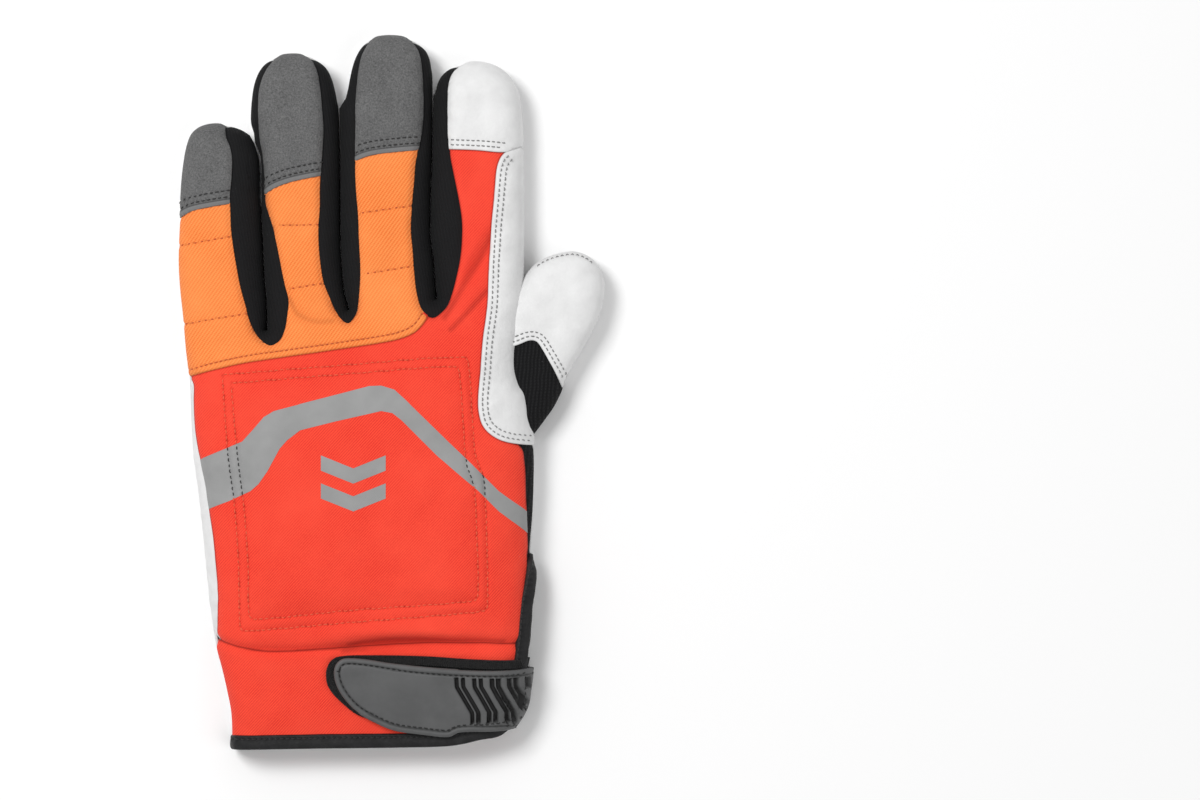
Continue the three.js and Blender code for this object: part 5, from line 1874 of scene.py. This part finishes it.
@dataclass
class Binding:
    """The tape round the cuff's mouth and the wrist's slit."""

    finishes: Finishes
    form: Form
    half_width: float = 2.75
    half_thickness: float = 1.5
    inset: float = 2.2
    sides: int = 32
    stitch_pitch: float = 2.1
    stitch_share: float = 0.5
    stitch_depth: float = 0.7
    stitch_width: float = 0.6
    seat: float = 0.5
    palm_height: float = 2.1
    flatness: Point = (0.45, 0.75)
    thickness_wave: float = 0.08
    wave_length: float = 9
    wave_seed: int = 12
    surfaces: dict[str, BVHTree] = field(default_factory=dict)

    def side_point(self, spot: Array, height: float) -> Pair:
        """Find a point on the round side of the form.

        Args:
            spot: Plan point on the outline.
            height: Height of the wanted point.

        Returns:
            The point at that height, and the way out of the form there.
        """
        found = near(spot[None], self.form.outline)
        run = found.run[0]
        outward = np.array([-run[1], run[0]])
        above = height > SEAM_HEIGHT
        reach = float(self.form.reach(spot[None])[0]) if above else self.form.floor_reach
        rise = float(self.form.rise(spot[None])[0]) if above else SEAM_HEIGHT
        power = self.form.fullness if above else self.form.floor_fullness
        level = min(abs(height - SEAM_HEIGHT) / rise, 0.999)
        share = (1 - level ** power) ** (1 / power)
        up = level ** (power - 1) / rise * (1 if above else -1)
        normal = np.array([*(outward * share ** (power - 1) / reach), up])
        return np.array([*(spot - outward * reach * (1 - share)), height]), normal / np.linalg.norm(normal)

    def path(self) -> Pair:
        """Lay the closed path of the tape.

        Returns:
            Points of the tape's middle, and the way out of the glove at each.
        """
        left = place((TAPE_LEFT,))[0]
        stops = [self.side_point(left, height) for height in (1.2, 4.0, 8.0)]
        edge = offset_line(smooth_line(place(CUFF_EDGE[1:-1]), 1.4), self.inset)
        flat = edge[(edge[:, 0] > left[0] + 0.7) & (edge[:, 0] < place((TAPE_FLAT_END,))[0, 0])]
        flat = np.vstack([flat[:8], flat[9::4]])
        rim = near(flat, self.form.outline)
        heights = self.form.height(flat, rim.distance, Side.BACK) + 0.3
        stops += zip(np.column_stack([flat, heights]), self.form.facing(flat, rim, Side.BACK))
        for x, y, height, share in TAPE_OVER:
            point = place(((x, y),))[0]
            run = near(point[None], self.form.outline).run[0]
            normal = np.array([-run[1] * share, run[0] * share, 1 - share])
            stops.append((np.array([*point, height]), normal / np.linalg.norm(normal)))
        stops += [self.side_point(place(((x, y),))[0], height) for x, y, height in TAPE_BELOW]
        down = np.array([0.0, 0.0, -1.0])
        stops += [(np.array([*point, self.palm_height]), down) for point in flat[9:-2][::-1]]
        ways = np.array([way for _, way in stops])
        return np.array([spot for spot, _ in stops]) - ways * self.seat, ways

    def build(self) -> None:
        """Sweep the tape's rounded section along its path."""
        spots, ways = self.path()
        both = smooth_line(np.hstack([spots, ways * 4]), 0.55, closed=True)[:-1]
        middle = both[:, :3]
        run = np.roll(middle, -1, axis=0) - np.roll(middle, 1, axis=0)
        run /= np.linalg.norm(run, axis=1)[:, None]
        out = both[:, 3:]
        out = out - (out * run).sum(axis=1)[:, None] * run
        out /= np.linalg.norm(out, axis=1)[:, None]
        edgeway = np.cross(out, run)
        angles = np.linspace(0, 2 * math.pi, self.sides, endpoint=False)
        wide, tall = (np.sign(wave) * np.abs(wave) ** power
                      for wave, power in zip((np.cos(angles), np.sin(angles)), self.flatness))
        random = ripples(middle[:, :2], self.wave_length, self.wave_seed)
        thick = self.half_thickness * (1 + self.thickness_wave * random)
        along = np.concatenate([[0], np.cumsum(np.linalg.norm(np.diff(middle, axis=0), axis=1))])
        pull = 0.6 + 0.4 * np.cos(2 * np.pi * along / self.stitch_pitch)
        dent = (tall > 0) * bump_at((wide - self.stitch_share) * self.half_width, self.stitch_width)
        raised = tall[None, :] * thick[:, None] - self.stitch_depth * dent[None, :] * pull[:, None]
        rings = (middle[:, None] + edgeway[:, None] * (wide * self.half_width)[None, :, None]
                 + out[:, None] * raised[..., None])
        self.row_line = (middle + edgeway * self.stitch_share * self.half_width)[:, :2]
        self.row_line = self.row_line[out[:, 2] > 0.3]
        count = len(middle)
        points = rings.reshape(-1, 3)
        points[:, 2] = np.maximum(points[:, 2], FLOOR_CLEARANCE)
        index = np.arange(count * self.sides).reshape(count, self.sides)
        a, b = index, np.roll(index, -1, axis=1)
        c, d = np.roll(a, -1, axis=0), np.roll(b, -1, axis=0)
        faces = np.vstack([np.column_stack([a.ravel(), b.ravel(), d.ravel()]),
                           np.column_stack([a.ravel(), d.ravel(), c.ravel()])])
        self.surfaces["cuff_binding"] = surface_of(points, faces)
        make_piece("cuff_binding", points, faces, self.finishes, "tape")

    def row(self) -> StitchRow:
        """The row of stitches along the tape's inner edge."""
        return StitchRow("binding_row", self.row_line, "cuff_binding", "dark_thread", self.stitch_pitch)


@dataclass
class Stitching:
    """All the stitches, as short bent threads set on points by one geometry tree."""

    finishes: Finishes
    thread_radius: float = 0.21
    rise: float = 0.36
    sink: float = 0.2
    ring: int = 6
    bends: int = 5
    seed: int = 11
    look_ahead: float = 0.4

    def tree(self) -> bpy.types.NodeTree:
        """Build the tree that puts one thread on each point, turned along its row.

        Returns:
            The tree, with the thread's sizes, the seed and the finish as inputs.
        """
        tree = bpy.data.node_groups.new("Stitches", "GeometryNodeTree")
        sockets = {"Geometry": "Geometry", "Thread radius": "Float", "Rise": "Float", "Sink": "Float",
                   "Seed": "Int", "Finish": "Material"}
        for name, kind in sockets.items():
            tree.interface.new_socket(name, in_out="INPUT", socket_type=f"NodeSocket{kind}")
        tree.interface.new_socket("Geometry", in_out="OUTPUT", socket_type="NodeSocketGeometry")
        given = add_node(tree, "NodeGroupInput", {}).outputs
        down = add_node(tree, "ShaderNodeMath", {0: given["Sink"], 1: -1.0}, operation="MULTIPLY").outputs[0]
        up = add_node(tree, "ShaderNodeMath", {0: given["Rise"], 1: 2.0, 2: given["Sink"]},
                      operation="MULTIPLY_ADD").outputs[0]
        ends = [add_node(tree, "ShaderNodeCombineXYZ", {"X": x, "Z": z}).outputs[0]
                for x, z in ((-0.5, down), (0.0, up), (0.5, down))]
        bend = add_node(tree, "GeometryNodeCurveQuadraticBezier",
                        {"Resolution": self.bends, "Start": ends[0], "Middle": ends[1], "End": ends[2]})
        section = add_node(tree, "GeometryNodeCurvePrimitiveCircle",
                           {"Resolution": self.ring, "Radius": given["Thread radius"]})
        thread = add_node(tree, "GeometryNodeCurveToMesh",
                          {"Curve": bend.outputs[0], "Profile Curve": section.outputs[0], "Fill Caps": True})
        kept = (("run", "FLOAT_VECTOR"), ("facing", "FLOAT_VECTOR"), ("length", "FLOAT"))
        named = [add_node(tree, "GeometryNodeInputNamedAttribute", {"Name": name}, data_type=kind)
                 for name, kind in kept]
        run, facing, length = (node.outputs["Attribute"] for node in named)
        turn = add_node(tree, "FunctionNodeAlignEulerToVector", {"Vector": facing}, axis="Z")
        twist = add_node(tree, "FunctionNodeAlignEulerToVector", {"Rotation": turn.outputs[0], "Vector": run},
                         axis="X", pivot_axis="Z")
        change = add_node(tree, "FunctionNodeRandomValue", {2: 0.9, 3: 1.1, "Seed": given["Seed"]},
                          data_type="FLOAT")
        scale = add_node(tree, "ShaderNodeMath", {0: length, 1: change.outputs[1]}, operation="MULTIPLY")
        size = add_node(tree, "ShaderNodeCombineXYZ", {"X": scale.outputs[0], "Y": 1.0, "Z": 1.0})
        copies = add_node(tree, "GeometryNodeInstanceOnPoints",
                          {"Points": given["Geometry"], "Instance": thread.outputs[0],
                           "Rotation": twist.outputs[0], "Scale": size.outputs[0]})
        real = add_node(tree, "GeometryNodeRealizeInstances", {0: copies.outputs[0]})
        smooth = add_node(tree, "GeometryNodeSetShadeSmooth", {0: real.outputs[0]})
        dress = add_node(tree, "GeometryNodeSetMaterial", {0: smooth.outputs[0], "Material": given["Finish"]})
        add_node(tree, "NodeGroupOutput", {0: dress.outputs[0]})
        return tree

    def spots(self, row: StitchRow, surface: BVHTree) -> list[tuple[Vector, Vector, Vector, float]]:
        """Find where the stitches of a row sit.

        Args:
            row: The row.
            surface: The piece that it is sewn on.

        Returns:
            Each stitch's place, its direction, the surface's direction and its length.
        """
        found = []
        spans = np.linalg.norm(np.diff(row.line, axis=0), axis=1)
        along = np.concatenate([[0], np.cumsum(spans)])
        for at in np.arange(row.pitch / 2, along[-1], row.pitch):
            spot, ahead, behind = ([np.interp(at + step, along, row.line[:, axis]) for axis in (0, 1)]
                                   for step in (0, self.look_ahead, -self.look_ahead))
            hit, normal, _, _ = surface.ray_cast(Vector((*spot, 80.0)), Vector((0, 0, -1)))
            if hit is None or normal.z < 0.2:
                continue
            run = Vector((ahead[0] - behind[0], ahead[1] - behind[1], 0))
            run = run - normal * run.dot(normal)
            if run.length > 1e-6:
                found.append((hit, run.normalized(), normal, row.pitch * row.length_share))
        return found

    def build(self, rows: Sequence[StitchRow], surfaces: dict[str, BVHTree], stripe: Array) -> None:
        """Make one mesh of stitches for each thread.

        Args:
            rows: Every row of stitches.
            surfaces: The pieces that they are sewn on, by name.
            stripe: Outline of the reflective stripe, on which the thread is dark.
        """
        tree = self.tree()
        sockets = {item.name: item.identifier for item in tree.interface.items_tree if item.in_out == "INPUT"}
        by_thread: dict[str, list[tuple[Vector, Vector, Vector, float]]] = {}
        for row in rows:
            for spot in self.spots(row, surfaces[row.piece]):
                on_stripe = row.piece == "back_panel" and inside(np.array([spot[0][:2]]), stripe)[0]
                by_thread.setdefault("dark_thread" if on_stripe else row.thread, []).append(spot)
        for name, spots in by_thread.items():
            mesh = bpy.data.meshes.new(name)
            mesh.from_pydata([spot[0] * MM for spot in spots], [], [])
            for label, column in (("run", 1), ("facing", 2)):
                values = mesh.attributes.new(label, "FLOAT_VECTOR", "POINT")
                values.data.foreach_set("vector", [v for spot in spots for v in spot[column]])
            values = mesh.attributes.new("length", "FLOAT", "POINT")
            values.data.foreach_set("value", [spot[3] * MM for spot in spots])
            seeds = add_object(f"{name}_points", mesh)
            modifier = seeds.modifiers.new("Stitches", "NODES")
            modifier.node_group = tree
            modifier[sockets["Thread radius"]] = self.thread_radius * MM
            modifier[sockets["Rise"]] = self.rise * MM
            modifier[sockets["Sink"]] = self.sink * MM
            modifier[sockets["Seed"]] = self.seed
            modifier[sockets["Finish"]] = self.finishes[name]
            graph = bpy.context.evaluated_depsgraph_get()
            result = bpy.data.meshes.new_from_object(seeds.evaluated_get(graph))
            bpy.data.objects.remove(seeds)
            result.name = f"stitches_{name}"
            report(add_object(result.name, result), SLOTS[name])


@dataclass(frozen=True)
class Studio:
    """Plain pale floor, soft light and the camera straight above, as in the photograph."""

    camera_height: float = 2.0
    sensor: float = 36.0
    floor_size: float = 3.0
    floor_colour: Colour = (0.94, 0.94, 0.94)
    sky: float = 0.46
    lamps: Sequence[tuple[str, Colour, float, float]] = (("key", (-0.6, 0.5, 1.35), 0.55, 15.5),
                                                         ("fill", (0.8, -0.5, 1.2), 1.0, 4.0))

    def light(self) -> None:
        """Light the scene with an even sky and square soft lamps aimed at the glove."""
        world = bpy.data.worlds.new("studio")
        world.use_nodes = True
        world.node_tree.nodes["Background"].inputs["Color"].default_value = (1, 1, 1, 1)
        world.node_tree.nodes["Background"].inputs["Strength"].default_value = self.sky
        bpy.context.scene.world = world
        for name, spot, size, power in self.lamps:
            light = bpy.data.lights.new(name, "AREA")
            light.size = size
            light.energy = power
            lamp = add_object(name, light)
            lamp.location = spot
            lamp.rotation_euler = (-Vector(spot)).to_track_quat("-Z", "Y").to_euler()

    def build(self) -> None:
        """Make the floor, the lights and the camera."""
        scene = bpy.context.scene
        half = self.floor_size / 2
        mesh = bpy.data.meshes.new("floor")
        mesh.from_pydata([(-half, -half, 0), (half, -half, 0), (half, half, 0), (-half, half, 0)], [],
                         [(0, 1, 2, 3)])
        mesh.materials.append(Nodes("floor").finish(self.floor_colour, 0.9, None, Specular_IOR_Level=0.1))
        add_object("floor", mesh)
        self.light()
        scene.view_settings.view_transform = "Standard"
        camera = bpy.data.cameras.new("camera")
        camera.sensor_width = self.sensor
        camera.lens = self.sensor * self.camera_height / (PHOTO_WIDTH * PIXEL_MM * MM)
        middle = place((PHOTO_MIDDLE,))[0] * MM
        scene.camera = add_object("camera", camera)
        scene.camera.location = (middle[0], middle[1], self.camera_height)


def main() -> None:
    """Build the glove piece by piece, then the studio round it."""
    logging.basicConfig(level=logging.INFO, format="%(message)s")
    finishes = build_finishes()
    Studio().build()
    hand = Hand(finishes)
    hand.build_panels()
    hand.build_palm()
    hand.build_films()
    hand.build_pad()
    hand.build_strap()
    thumb = Thumb(finishes)
    thumb.build()
    binding = Binding(finishes, hand.form)
    binding.build()
    surfaces = {**hand.surfaces, **thumb.surfaces, **binding.surfaces}
    Stitching(finishes).build([*hand.rows, *thumb.rows, binding.row()], surfaces, hand.stripe)


if __name__ == "__main__":
    main()
